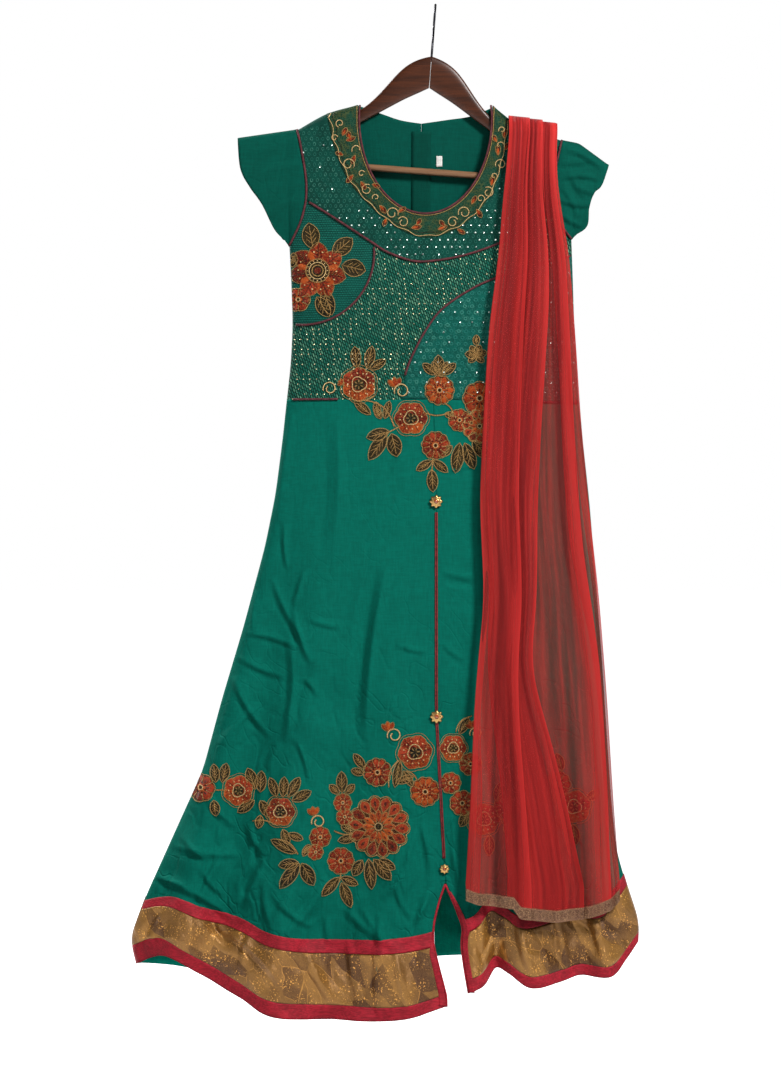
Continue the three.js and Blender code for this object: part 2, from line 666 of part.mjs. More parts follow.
const SLIT_START = -1332; // below the top of the slit, where its two edges have parted
const slitShift = PIPING_RADIUS + 4 * GAP;
function addSlitPiping(name, slit, list, shift) {
  const heights = [SLIT_START, ...list.map(({ seam }) => seam).filter((z) => z < SLIT_START)];
  const line = beside(atHeights(slit, heights), shift);
  add(name, edgePiping(shorter(line, 0, 0.3), onFront), COLOURS.crimson);
}
addSlitPiping("piping_slit_left", SLIT_LEFT, SKIRT_LEFT, slitShift);
addSlitPiping("piping_slit_right", SLIT_RIGHT, SKIRT_RIGHT, -slitShift);

// ---------------------------------------------------------------- buttons

BUTTONS.forEach(({ z, radius }, i) => {
  const profile = rows("across up", [
    [0, 0], [0.8, 0], [1, 0.3], [0.9, 0.6], [0.55, 0.75], [0.35, 1], [0, 1],
  ]).map(({ across, up }) => new THREE.Vector2(across * radius, up * BUTTON_HEIGHT));
  const button = add(`button_${i + 1}`, new THREE.LatheGeometry(profile, 12), COLOURS.brass, {
    roughness: 0.35,
    metalness: 1,
  });
  const x = read(CENTRE_FRONT, "z", z, "x");
  button.position.copy(onFront(new THREE.Vector2(x, z), 2 * PIPING_FINE + 4 * GAP));
  button.rotation.x = Math.PI;
});

// ---------------------------------------------------------------- embroidered sprays

// A flower of a radius with a scalloped edge, as its outline.
function flowerOutline({ x, z, size, petals }) {
  return arc(0, 0, 1, 1, 0, 360 - 180 / petals, 2 * petals - 1).map(
    (way, i) => way.multiplyScalar(size * (i % 2 ? 0.84 : 1)).add(new THREE.Vector2(x, z)),
  );
}

// A leaf of a length, turned by an angle in degrees from the right.
function leafOutline({ x, z, size, turn }) {
  const shape = rows("along across", [[-0.5, 0.06], [-0.1, 0.24], [0.25, 0.2], [0.5, 0.04]]);
  const angle = THREE.MathUtils.degToRad(turn);
  const side = (sign) =>
    shape.map(({ along, across }) => new THREE.Vector2(along * size, sign * across * size));
  return [...side(-1), ...turned(side(1))].map((point) =>
    point.rotateAround(new THREE.Vector2(), angle).add(new THREE.Vector2(x, z)),
  );
}

// A stem from one motif's middle to the next one's.
function stemOutline(from, to) {
  const [a, b] = [from, to].map(({ x, z }) => new THREE.Vector2(x, z));
  const aside = b.clone().sub(a).rotateAround(new THREE.Vector2(), Math.PI / 2).setLength(STEM / 2);
  const moved = (point, share) => point.clone().addScaledVector(aside, share);
  return [moved(a, -1), moved(b, -1), moved(b, 1), moved(a, 1)];
}

// The outline carried straight through the front of the kurta.
function prism(outline) {
  const shape = new THREE.Shape(outline);
  const geometry = new THREE.ExtrudeGeometry(shape, { depth: 200, bevelEnabled: false });
  return solidOf(geometry.rotateX(Math.PI / 2));
}

const motifOutline = (row) => (row.petals ? flowerOutline(row) : leafOutline(row));

// A spray is the layer of a height on the cloth that its motifs and their stems cover.
function addSpray(name, table, layer) {
  let solid = prism(motifOutline(table[0]));
  table.slice(1).forEach((row, i) => {
    solid = solid.add(prism(motifOutline(row))).add(prism(stemOutline(table[i], row)));
  });
  add(name, geometryOf(solid.intersect(solidOf(layer))), COLOURS.motif);
}

// A flower has petals and its radius as its size; a leaf has its length, and the way it points.
const spray = (values) => rows("x z size petals turn", values);

const CHEST_SPRAY = spray([
  [-186, -356, 40, 0, 105], [-176, -400, 36, 8], [-138, -368, 46, 0, 42], [-130, -398, 44, 0, 2],
  [-176, -400, 20, 6], [-163, -446, 44, 0, -72], [-200, -434, 24, 6],
]);
addSpray("spray_chest", CHEST_SPRAY, clothWall(cupGrid, onFront, GAP, MOTIF));

const WAIST_SPRAY = spray([
  [-148, -572, 34, 0, 175], [-116, -572, 27, 6], [-104, -534, 46, 0, 72], [-97, -612, 50, 0, -55],
  [-90, -652, 46, 0, -95], [-66, -640, 40, 0, 10], [-38, -621, 26, 7], [-58, -582, 30, 0, 100],
  [-38, -621, 18, 6], [5, -582, 23, 8], [5, -548, 44, 0, 90], [28, -612, 30, 0, -20],
  [56, -611, 40, 8], [61, -556, 44, 0, 95], [38, -664, 44, 0, -75], [-1, -660, 23, 8],
  [-4, -698, 42, 0, -95],
]);
const waistLayer = heightsBetween(-500, -730, 6).map((z) =>
  straight(new THREE.Vector2(-175, z), new THREE.Vector2(105, z), 6),
);
addSpray("spray_waist", WAIST_SPRAY, clothWall(waistLayer, onFront, 3 * GAP, 3 * GAP + MOTIF));

const HEM_SPRAY_LEFT = spray([
  [-346, -1176, 20, 5], [-322, -1176, 36, 0, 0], [-296, -1180, 25, 7], [-264, -1182, 44, 0, -10],
  [-232, -1212, 26, 7], [-205, -1248, 52, 0, -55], [-210, -1288, 50, 0, -95],
  [-174, -1244, 20, 6], [-184, -1212, 36, 0, 70], [-142, -1284, 21, 8], [-138, -1322, 44, 0, -95],
  [-98, -1296, 50, 0, -80], [-86, -1234, 44, 8], [-134, -1208, 44, 0, 85], [-88, -1152, 21, 8],
  [-60, -1122, 40, 0, 120], [-36, -1124, 24, 7], [-22, -1182, 18, 8],
]);
addSpray("spray_hem_left", HEM_SPRAY_LEFT, clothWall(skirtLeftGrid, onFront, GAP, MOTIF));

const HEM_SPRAY_RIGHT = spray([
  [31, -1116, 22, 7], [34, -1168, 19, 8], [66, -1222, 26, 7], [98, -1226, 44, 0, 0],
  [134, -1214, 34, 8], [172, -1204, 44, 0, 10], [206, -1190, 28, 7],
]);
addSpray("spray_hem_right", HEM_SPRAY_RIGHT, clothWall(skirtRightGrid, onFront, GAP, MOTIF));

// ---------------------------------------------------------------- zip and label

const ZIP = { top: -188, foot: -593, halfWidth: 14, wall: 1, clear: 0.9 };
const LABEL = { x: 6, z: -233, halfWidth: 4.5, halfHeight: 8, wall: 0.6 };

// A flat piece on the inner face of the back.
function insideBack(grid, clear, wall) {
  return clothWall(grid, onBack, -CLOTH - clear - wall, -CLOTH - clear);
}
const zipLine = CENTRE_BACK[0].x;
const zipGrid = atHeights(CENTRE_BACK, [ZIP.top, -230, -275, -320, -350, -390, -490, ZIP.foot])
  .map(({ x, y }) => [-1, 0, 1].map((side) => new THREE.Vector2(x + side * ZIP.halfWidth, y)));
add("zip_tape", insideBack(zipGrid, ZIP.clear, ZIP.wall), COLOURS.sleeve);

const labelGrid = [1, -1].map((up) =>
  [-1, 1].map((side) =>
    new THREE.Vector2(LABEL.x + side * LABEL.halfWidth, LABEL.z + up * LABEL.halfHeight),
  ),
);
add("label", insideBack(labelGrid, ZIP.clear, LABEL.wall), COLOURS.label);

// Slider and pull tab on the outer face of the back. The tab's crossbar passes under the
// slider's bridge and turns in it.
const SLIDER = { width: 7, depth: 3, height: 12, z: -194 };
const BRIDGE = { width: 1.6, height: 9, inner: 2.2, wall: 1.2 };
const TAB = { width: 7, wall: 1.2, length: 20, legs: 6, bar: 0.7 };
const zip = new THREE.Group();
const sliderSeat = onBack(new THREE.Vector2(zipLine, SLIDER.z), 2 * GAP);
zip.position.set(zipLine, sliderSeat.y + SLIDER.depth, SLIDER.z);
kurtaSet.add(zip);

const box = (width, deep, height, x, y, z) =>
  solidOf(new THREE.BoxGeometry(width, deep, height).translate(x, y, z));

const bridgeLegZ = (BRIDGE.height - BRIDGE.wall) / 2;
const bridgeTop = BRIDGE.inner + BRIDGE.wall / 2;
const slider = box(SLIDER.width, SLIDER.depth, SLIDER.height, 0, -SLIDER.depth / 2, 0)
  .add(box(BRIDGE.width, BRIDGE.inner + 0.2, BRIDGE.wall, 0, BRIDGE.inner / 2, bridgeLegZ))
  .add(box(BRIDGE.width, BRIDGE.inner + 0.2, BRIDGE.wall, 0, BRIDGE.inner / 2, -bridgeLegZ))
  .add(box(BRIDGE.width, BRIDGE.wall, BRIDGE.height, 0, bridgeTop, 0));
add("zip_slider", geometryOf(slider), COLOURS.sleeve, { roughness: 0.4, parent: zip });

const crossbar = new THREE.CylinderGeometry(TAB.bar, TAB.bar, TAB.width, 8).rotateZ(Math.PI / 2);
const legX = (TAB.width - TAB.wall) / 2;
const pull = solidOf(crossbar)
  .add(box(TAB.wall, TAB.wall, TAB.legs + 1, -legX, 0, -TAB.legs / 2))
  .add(box(TAB.wall, TAB.wall, TAB.legs + 1, legX, 0, -TAB.legs / 2))
  .add(box(TAB.width, TAB.wall, TAB.length - TAB.legs, 0, 0, -(TAB.length + TAB.legs) / 2));
const zipPull = add("zip_pull", geometryOf(pull), COLOURS.sleeve, { roughness: 0.4, parent: zip });
zipPull.position.y = BRIDGE.inner / 2;

// ---------------------------------------------------------------- dupatta

// Left and right edge of the dupatta at each height, in front and behind, and the depth of its
// pleats there.
const FALL_FRONT = rows("z left right pleat", [
  [-184, 110, 187, 9], [-236, 107, 183, 11], [-302, 99, 190, 13], [-367, 95, 203, 14],
  [-485, 78, 211, 15], [-623, 68, 219, 16], [-748, 62, 231, 17], [-895, 70, 248, 17],
  [-1037, 57, 259, 17], [-1202, 48, 268, 16], [-1334, 40, 276, 15],
]);
const FALL_BACK = rows("z left right pleat", [
  [-184, 110, 187, 9], [-300, 100, 190, 13], [-500, 82, 205, 16], [-800, 72, 222, 17],
  [-1160, 60, 236, 16],
]);
const DUPATTA = {
  pleats: 7, lie: 0.7, clear: 7, crest: -167, arch: 28, lace: 16, footFront: -1334,
  footBack: -1144,
};

// A pleat's place across from 0 to 1, with each pleat folded a little over the next, and how far
// it stands out from 0 to 1.
function pleat(share) {
  const turn = 2 * Math.PI * DUPATTA.pleats * share;
  return {
    across: share + (DUPATTA.lie * Math.sin(turn)) / (2 * Math.PI * DUPATTA.pleats),
    out: 0.5 - 0.5 * Math.cos(turn),
  };
}

// A point of the hanging cloth in front or behind, at a share across and a height.
function fallPoint(side, share, z) {
  const table = side < 0 ? FALL_FRONT : FALL_BACK;
  const { across, out } = pleat(share);
  const x = lerp(read(table, "z", z, "left"), read(table, "z", z, "right"), across);
  const near = Math.min(z, DUPATTA.crest - DUPATTA.arch);
  const base = Math.max(side * depth(x, near, side), 9);
  return new THREE.Vector3(x, side * (base + layerUnder(z) + out * read(table, "z", z, "pleat")), z);
}

// What the dupatta must clear: the sprays and bands on the kurta, more towards the hem's folds.
const layerUnder = (z) => DUPATTA.clear + clamp((-600 - z) / 500, 0, 1) * 5;

// Over the shoulder the cloth runs round an arch from the front fall to the back fall.
function archPoint(share, turn) {
  const z = DUPATTA.crest - DUPATTA.arch;
  const [front, back] = [fallPoint(-1, share, z), fallPoint(1, share, z)];
  const angle = Math.PI * turn;
  const middle = (front.y + back.y) / 2;
  const crest = DUPATTA.crest - 0.16 * (front.x - FALL_FRONT[0].left) + 4 * pleat(share).out;
  return new THREE.Vector3(
    lerp(front.x, back.x, turn),
    middle - ((back.y - front.y) / 2) * Math.cos(angle),
    z + (crest - z) * Math.sin(angle),
  );
}

// The wall of a stretch given by a function of the share across and the step down it.
function stretchGeometry(point, steps, columns) {
  const grid = steps.map((step) =>
    Array.from({ length: columns + 1 }, (_, i) => point(i / columns, step)),
  );
  return thickened(grid, SHEER);
}

// A wall of a thickness whose outer face is the grid; its inner face lies behind it.
function thickened(grid, wall) {
  const inner = grid.map((line, j) =>
    line.map((point, i) => {
      const across = grid[j][Math.min(i + 1, line.length - 1)].clone().sub(grid[j][Math.max(i - 1, 0)]);
      const down = grid[Math.min(j + 1, grid.length - 1)][i].clone().sub(grid[Math.max(j - 1, 0)][i]);
      return point.clone().addScaledVector(across.cross(down).normalize(), wall);
    }),
  );
  return wallGeometry(grid, inner);
}

const COLUMNS = 3 * DUPATTA.pleats;
const archFoot = DUPATTA.crest - DUPATTA.arch;
const front = (share, z) => fallPoint(-1, share, z);
const back = (share, z) => fallPoint(1, share, z);
const { footFront, footBack, lace } = DUPATTA;
add(
  "dupatta_front",
  stretchGeometry(front, heightsBetween(archFoot - GAP, footFront, 9), COLUMNS),
  COLOURS.chiffon,
);
add(
  "dupatta_shoulder",
  stretchGeometry(archPoint, heightsBetween(0, 1, 6), COLUMNS),
  COLOURS.chiffon,
);
add(
  "dupatta_back",
  stretchGeometry(back, heightsBetween(archFoot - GAP, footBack, 8), COLUMNS),
  COLOURS.chiffon,
);
add(
  "dupatta_lace_front",
  stretchGeometry(front, [footFront - GAP, footFront - lace], COLUMNS),
  COLOURS.lace,
  { roughness: 0.5, metalness: 0.3 },
);
add(
  "dupatta_lace_back",
  stretchGeometry(back, [footBack - GAP, footBack - lace], COLUMNS),
  COLOURS.lace,
  { roughness: 0.5, metalness: 0.3 },
);

export default kurtaSet;
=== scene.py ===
import math
from functools import cached_property

import bpy
import numpy as np
from bpy.props import FloatProperty, FloatVectorProperty, PointerProperty
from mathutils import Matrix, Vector


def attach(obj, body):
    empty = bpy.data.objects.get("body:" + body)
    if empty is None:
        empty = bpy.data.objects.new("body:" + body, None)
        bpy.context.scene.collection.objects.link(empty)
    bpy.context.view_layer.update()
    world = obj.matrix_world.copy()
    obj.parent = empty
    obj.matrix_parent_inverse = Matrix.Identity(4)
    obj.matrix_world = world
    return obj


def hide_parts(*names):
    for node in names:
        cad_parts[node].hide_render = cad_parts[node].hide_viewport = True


bl_info = {
    "name": "Kurta and dupatta on a hanger",
    "version": (1, 0, 0),
    "blender": (4, 5, 0),
    "location": "View3D > Sidebar > Kurta",
    "description": "Dresses the kurta, its embroidery, the dupatta and the hanger",
    "category": "Object",
}

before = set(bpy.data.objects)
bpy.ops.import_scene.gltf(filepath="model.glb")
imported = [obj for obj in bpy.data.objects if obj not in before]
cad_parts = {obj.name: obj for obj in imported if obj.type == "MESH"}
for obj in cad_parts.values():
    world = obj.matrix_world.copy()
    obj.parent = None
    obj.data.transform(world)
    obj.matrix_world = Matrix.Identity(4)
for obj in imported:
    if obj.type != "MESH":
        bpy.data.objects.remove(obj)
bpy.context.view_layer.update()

# Every length in the tables and surfaces is in millimetres; MM turns it into metres.
MM = 0.001
GARMENT = "garment"


def table(names, values):
    """A table's columns by name, each as an array."""
    return dict(zip(names.split(), np.array(values, float).T))


# ---- outlines, seen from the front

# The neckline's ellipse and the circle of the round bust seam, with angles in degrees.
NECK = {"x": -15, "z": -170, "half_width": 102, "depth": 146, "rise": 8}
CUP = {"x": -199, "z": -374, "radius": 107, "start": 8, "end": -98.6}
BAND_EDGE = table("x z", [
    (-164, -163), (-152, -215), (-132, -262), (-100, -301), (-60, -334), (-13, -351), (41, -332),
    (81, -290), (100, -240), (112, -171),
])
ARMHOLE_LEFT = table("x z", [
    (-208, -187), (-200, -225), (-194, -263), (-194, -294), (-202, -326), (-220, -363),
])
ARMHOLE_RIGHT = table("x z", [
    (190, -203), (181, -242), (176, -280), (177, -305), (187, -330), (205, -352),
])
YOKE_SEAM_LEFT = table("x z", [(-194, -294), (-151, -321), (-93.04, -359.11)])
YOKE_SEAM = table("x z", [
    (-93.04, -359.11), (-71, -373), (-33, -386), (2, -385), (44, -377), (90, -361), (135, -338),
    (177, -305),
])
SIDE_CURVE = table("x z", [
    (206, -376), (150, -391), (86, -413), (47, -432), (9, -459), (-14, -489), (-33, -524),
    (-45, -555), (-52, -593),
])
SIDE_LEFT = table("x z", [
    (-220, -363), (-217, -420), (-215, -480), (-218, -540), (-224, -593), (-230, -650),
    (-241, -736), (-257, -815), (-290, -938), (-322, -1045), (-351, -1153), (-383, -1223),
    (-411, -1285), (-436, -1340), (-460, -1405), (-450, -1443),
])
SIDE_RIGHT = table("x z", [
    (205, -352), (206, -376), (209, -470), (216, -598), (232, -745), (242, -865), (251, -985),
    (259, -1105), (265, -1195), (273, -1273), (289, -1327), (307, -1380), (305, -1409),
])
CENTRE_FRONT = table("x z", [(-4, -596), (1, -747), (1, -1069), (8, -1196), (14, -1316)])
SLIT_LEFT = table("x z", [
    (14, -1316), (5, -1340), (-4, -1375), (-6, -1404), (4, -1445), (15, -1487), (15, -1502),
])
SLIT_RIGHT = table("x z", [
    (14, -1316), (30, -1352), (42, -1384), (39, -1409), (43, -1440), (50, -1481),
])
HEM_LEFT = table("x z", [
    (-450, -1443), (-406, -1428), (-355, -1456), (-293, -1490), (-241, -1517), (-143, -1522),
    (-81, -1523), (-34, -1517), (15, -1502),
])
HEM_RIGHT = table("x z", [
    (50, -1481), (72, -1470), (90, -1446), (110, -1453), (142, -1474), (188, -1466),
    (218, -1458), (262, -1460), (286, -1435), (305, -1409),
])
HEM_BACK_LEFT = table("x z", [
    (-450, -1443), (-400, -1448), (-300, -1460), (-150, -1452), (0, -1440),
])
HEM_BACK_RIGHT = table("x z", [(0, -1440), (120, -1430), (220, -1432), (305, -1409)])
BACK_NECK = table("x z", [(-116, -149), (-79, -162), (-52, -171), (-21, -176)])
BACK_NECK_RIGHT = table("x z", [(-21, -176), (21, -170), (53, -165), (86, -152)])
CENTRE_BACK = table("x z", [(-21, -176), (-22, -400), (-12, -800), (0, -1440)])
CUFF_LEFT = table("x z", [
    (-298, -200), (-294, -245), (-281, -271), (-262, -298), (-243, -336), (-228, -352),
])
CUFF_RIGHT = table("x z", [
    (261, -241), (251, -270), (240, -281), (232, -303), (229, -331), (213, -344),
])
TOP_LINE = table("x z", [
    (-298, -200), (-208, -187), (-163, -162), (-116, -149), (-100, -125), (70, -125), (86, -152),
    (104, -171), (118, -181), (190, -203), (216, -208), (261, -241),
])
SKIRT_LEFT = table("outer seam", [
    (-593, -594), (-700, -700), (-810, -810), (-920, -920), (-1030, -1030), (-1130, -1130),
    (-1220, -1230), (-1275, -1316), (-1310, -1350), (-1342, -1391), (-1357, -1414),
    (-1415, -1484), (-1443, -1502),
])
SKIRT_RIGHT = table("outer seam", [
    (-598, -594), (-700, -700), (-810, -810), (-920, -920), (-1030, -1030), (-1130, -1130),
    (-1200, -1230), (-1255, -1316), (-1282, -1346), (-1308, -1373), (-1324, -1393),
    (-1394, -1462), (-1409, -1481),
])
BACK_LEFT = table("outer seam", [
    (-187, -176), (-195, -186), (-225, -230), (-260, -275), (-294, -320), (-328, -350),
    (-363, -390), (-480, -490), (-593, -593), (-760, -760), (-920, -920), (-1080, -1080),
    (-1220, -1220), (-1342, -1324), (-1357, -1342), (-1415, -1423), (-1443, -1440),
])
BACK_RIGHT = table("outer seam", [
    (-203, -176), (-211, -186), (-240, -230), (-275, -275), (-305, -320), (-328, -350),
    (-352, -390), (-480, -490), (-598, -593), (-760, -760), (-920, -920), (-1080, -1080),
    (-1200, -1220), (-1308, -1324), (-1324, -1342), (-1394, -1423), (-1409, -1440),
])
SHOULDER_LEFT = table("x z", [(-116, -149), (-163, -162), (-208, -187)])
SHOULDER_RIGHT = table("x z", [(86, -152), (104, -171), (118, -181), (190, -203)])

# How far the cloth stands from the middle plane: edge at the sides, front and back in the middle.
DEPTH = table("z edge front back", [
    (-150, 9, 0, 0), (-280, 9, 8, 5), (-325, 6, 15, 8), (-348, 0.2, 19, 10), (-400, 0.2, 27, 14),
    (-470, 0.2, 32, 17), (-593, 0.2, 25, 15), (-800, 0.2, 34, 24), (-1100, 0.2, 48, 40),
    (-1450, 0.2, 60, 60),
])

# Long folds from a top, where they begin, to a foot; out is negative for a hollow.
FRONT_FOLDS = table("top_x top_z foot_x foot_z width out", [
    (-222, -660, -400, -1430, 34, 14), (-205, -720, -335, -1460, 36, -15),
    (-165, -760, -240, -1515, 42, 17), (-115, -800, -155, -1520, 34, -13),
    (-60, -850, -60, -1520, 40, 12), (50, -900, 62, -1480, 18, 8),
    (80, -1250, 90, -1450, 16, -17), (110, -900, 142, -1475, 34, 15),
    (160, -900, 214, -1460, 28, -12), (200, -950, 258, -1460, 22, 12),
])
BACK_FOLDS = table("top_x top_z foot_x foot_z width out", [
    (-200, -700, -350, -1450, 40, -15), (-130, -750, -230, -1450, 44, 18),
    (-60, -800, -120, -1450, 40, -16), (10, -800, 5, -1440, 40, 14),
    (80, -800, 110, -1430, 38, -15), (150, -850, 200, -1430, 34, 16),
])

# Both edges of the dupatta's falls and the depth of their pleats, by height.
FALL_FRONT = table("z left right pleat", [
    (-184, 110, 187, 9), (-236, 107, 183, 11), (-302, 99, 190, 13), (-367, 95, 203, 14),
    (-485, 78, 211, 15), (-623, 68, 219, 16), (-748, 62, 231, 17), (-895, 70, 248, 17),
    (-1037, 57, 259, 17), (-1202, 48, 268, 16), (-1316, 40, 276, 15),
])
FALL_BACK = table("z left right pleat", [
    (-184, 110, 187, 9), (-300, 100, 190, 13), (-500, 82, 205, 16), (-800, 72, 222, 17),
    (-1160, 60, 236, 16),
])
BUTTONS = table("z radius", [(-747, 9), (-1069, 9), (-1296, 7)])

# Creases of the front: a ridge, or a trough where its height is negative, from (x1, z1) to
# (x2, z2), bent sideways in the middle by bow.
FRONT_CREASES = table("x1 z1 x2 z2 width height bow", [
    (-75, -846, -106, -1105, 7, 4.5, 6), (-90, -846, -122, -1100, 11, -3, 6),
    (-150, -610, -158, -840, 11, 2.5, -8), (-215, -610, -236, -780, 8, 3, 5),
    (-196, -850, -214, -905, 4, 3, 0), (-214, -905, -186, -990, 5, 3.5, 4),
    (-246, -861, -194, -960, 5, 3, 5), (-287, -944, -205, -966, 4, 2.8, -4),
    (-300, -978, -224, -1010, 5, 3, 4), (-219, -945, -226, -1110, 6, 3.5, -8),
    (-305, -1010, -246, -1102, 5, 3.4, 6), (-194, -922, -140, -936, 4, 2, 2),
    (-186, -990, -212, -1100, 7, -3, 6), (-262, -1050, -330, -1120, 6, 3, 4),
    (-226, -780, -222, -850, 4, 3, 3), (-268, -880, -276, -940, 4, 2.6, 3),
    (-200, -1010, -176, -1040, 4, 2.4, -3), (-232, -1110, -252, -1150, 5, 3, 3),
    (-30, -640, -66, -705, 6, 2, 3), (6, -851, 66, -862, 3.5, 2, 3),
    (10, -866, 58, -872, 3.5, -1.6, 2), (12, -960, 46, -985, 4, 2, 3),
    (10, -700, 60, -690, 3.5, 1.6, 2), (-60, -960, -12, -972, 3.5, 1.8, 3),
    (-282, -1228, -256, -1278, 5, 4, 4), (-256, -1278, -294, -1355, 6, 4.5, -4),
    (-303, -1258, -356, -1356, 6, 4.5, 6), (-163, -1310, -227, -1396, 6, 4.5, -6),
    (-140, -1350, -60, -1412, 6, 3, 6), (-24, -1226, -8, -1322, 5, 4, -5),
    (-8, -1322, -26, -1396, 5, 3.5, 4), (-396, -1262, -292, -1276, 5, 3, 6),
    (-411, -1312, -303, -1374, 6, 4, -6), (-246, -1332, -184, -1384, 5, 3.5, 4),
    (-112, -1352, -80, -1404, 5, 3, 0), (-340, -1190, -300, -1236, 6, 3, 4),
    (-230, -1150, -262, -1230, 6, -3, 5), (-321, -1225, -326, -1262, 4, 3.5, 2),
    (-382, -1247, -340, -1284, 5, 3.5, 4), (-263, -1244, -270, -1300, 5, -4.5, 2),
    (-270, -1292, -290, -1336, 5, -4.5, 3), (-284, -1326, -300, -1372, 5, -4.5, -3),
    (-257, -1309, -244, -1388, 4, 3.5, 5), (-208, -1320, -248, -1386, 4, 3.5, 4),
    (-163, -1366, -160, -1410, 4, 3.5, 2), (-83, -1362, -80, -1440, 4, 4, 2),
    (-28, -1236, -44, -1300, 4, 3.5, 3), (-42, -1292, -82, -1340, 4, 3.5, -3),
    (-40, -1384, -8, -1328, 4, 3, 4), (-210, -1102, -188, -1170, 4, 3, -4),
    (-430, -1306, -374, -1322, 4, 3, 3), (-116, -1326, -132, -1390, 4, 2.6, 3),
    (-62, -1318, -36, -1372, 4, 2.6, 4), (-352, -1296, -318, -1340, 4, 3, 3),
    (-130, -1400, -112, -1500, 5, 4, 3), (-90, -1400, -86, -1516, 4, 4.5, 0),
    (-60, -1420, -42, -1500, 4, 5, 2), (-350, -1360, -300, -1420, 6, -4, 4),
    (-330, -1380, -225, -1470, 6, 5, -8), (-200, -1410, -150, -1500, 6, 4, 5),
    (-400, -1360, -436, -1430, 6, 4, 4), (-276, -1390, -292, -1450, 4, 4, 3),
    (-180, -120, -150, -250, 7, 1, 0), (24, -1240, 40, -1330, 5, 3, 3),
    (56, -1330, 70, -1450, 6, -4, 3), (120, -1350, 150, -1466, 6, 5, 5),
    (170, -1340, 196, -1455, 6, 5, -4), (230, -1330, 258, -1440, 6, 5, 4),
    (100, -1380, 72, -1440, 5, 4, 2), (205, -1360, 286, -1400, 6, 4, 5),
])
BACK_CREASES = table("x1 z1 x2 z2 width height bow", [
    (-150, -640, -230, -900, 8, 4, 10), (-100, -700, -120, -1000, 7, 3.5, -6),
    (-200, -950, -260, -1200, 7, 4, 8), (-290, -1080, -330, -1300, 7, 4, -6),
    (-60, -900, -70, -1250, 6, 3.5, 5), (-160, -1150, -210, -1400, 7, 4, 6),
    (40, -650, 70, -900, 7, 3.5, 6), (90, -850, 120, -1150, 6, 3.5, -5),
    (150, -1000, 190, -1300, 7, 4, 6), (-380, -1250, -300, -1330, 5, 3.5, 5),
    (30, -1100, 50, -1380, 6, 4, -6), (-120, -470, -60, -520, 5, 2, 6),
    (60, -430, 120, -500, 5, 2, -6), (-180, -400, -120, -460, 5, 2, 4),
    (20, -300, 90, -330, 5, 1.5, 5), (-140, -260, -60, -300, 5, 1.5, 5),
    (-240, -860, -180, -960, 5, 3, 5), (-300, -1010, -250, -1100, 5, 3, 6),
    (-110, -1000, -150, -1080, 5, 3, -4), (-30, -1180, -90, -1250, 5, 3, 4),
    (-230, -1270, -160, -1330, 5, 3.5, 4), (-350, -1180, -290, -1230, 5, 3, 4),
    (70, -1240, 130, -1300, 5, 3.5, -4), (130, -1180, 180, -1200, 5, 3, 4),
    (200, -1090, 170, -1170, 5, 3, 3), (-20, -760, -60, -840, 5, 2.5, 4),
    (100, -700, 150, -740, 5, 2.5, 4), (-200, -700, -240, -760, 5, 2.5, 3),
])
SLEEVE_CREASES = table("x1 z1 x2 z2 width height bow", [
    (-200, -240, -270, -262, 6, 1.4, 6), (-198, -290, -250, -318, 6, 1.6, 4),
    (-206, -200, -286, -222, 6, 1.2, -4), (184, -236, 240, -230, 4, 2, 4),
    (182, -262, 248, -262, 4, 2.2, -6), (180, -290, 236, -300, 4, 2.2, 4),
    (186, -312, 224, -332, 4, 2, 3), (196, -216, 252, -246, 4, 2, -4),
    (200, -246, 228, -292, 4, 2, 3), (214, -270, 240, -284, 4, 1.8, 2),
    (190, -272, 214, -318, 4, 1.8, -3),
])


def reading(columns, by, key, reach=0):
    """One column as a function of another, along straight lines between the rows; with a reach,
    its corners are rounded by a bell-weighted average over that distance."""
    order = np.argsort(columns[by])
    at, value = columns[by][order], columns[key][order]
    if not reach:
        return lambda where: np.interp(where, at, value)
    ladder = np.arange(at[0], at[-1] + 1, 2.0)
    half = int(reach / 2)
    bell = np.hanning(2 * half + 1)
    padded = np.pad(np.interp(ladder, at, value), half, mode="reflect", reflect_type="odd")
    rounded = np.convolve(padded, bell / bell.sum(), mode="valid")
    return lambda where: np.interp(where, ladder, rounded)


left_side = reading(SIDE_LEFT, "z", "x", 36)
right_side = reading(SIDE_RIGHT, "z", "x", 36)
top_line = reading(TOP_LINE, "x", "z", 8)
edge_depth = reading(DEPTH, "z", "edge", 50)
crowns = {-1: reading(DEPTH, "z", "front", 60), 1: reading(DEPTH, "z", "back", 60)}
FOLD_RADIUS = 12
# Crumples towards the hem: height, size and seed, and the drops where they start and are full.
CRUMPLES = [(3.4, 95, 3, 700, 1250), (3.6, 58, 11, 1290, 1400)]


def folds(columns, x, z):
    """Long folds: out * t * exp(-((x - middle) / reach)^2), where t runs from 0 at a fold's top to
    1 at its foot and reach grows with it."""
    out = np.zeros(np.broadcast(x, z).shape)
    for top_x, top_z, foot_x, foot_z, width, height in zip(*columns.values()):
        t = np.clip((top_z - z) / (top_z - foot_z), 0, 1.1)
        middle = top_x + (foot_x - top_x) * t
        out += height * t * np.exp(-(((x - middle) / (width * (0.6 + 0.4 * t))) ** 2))
    return out


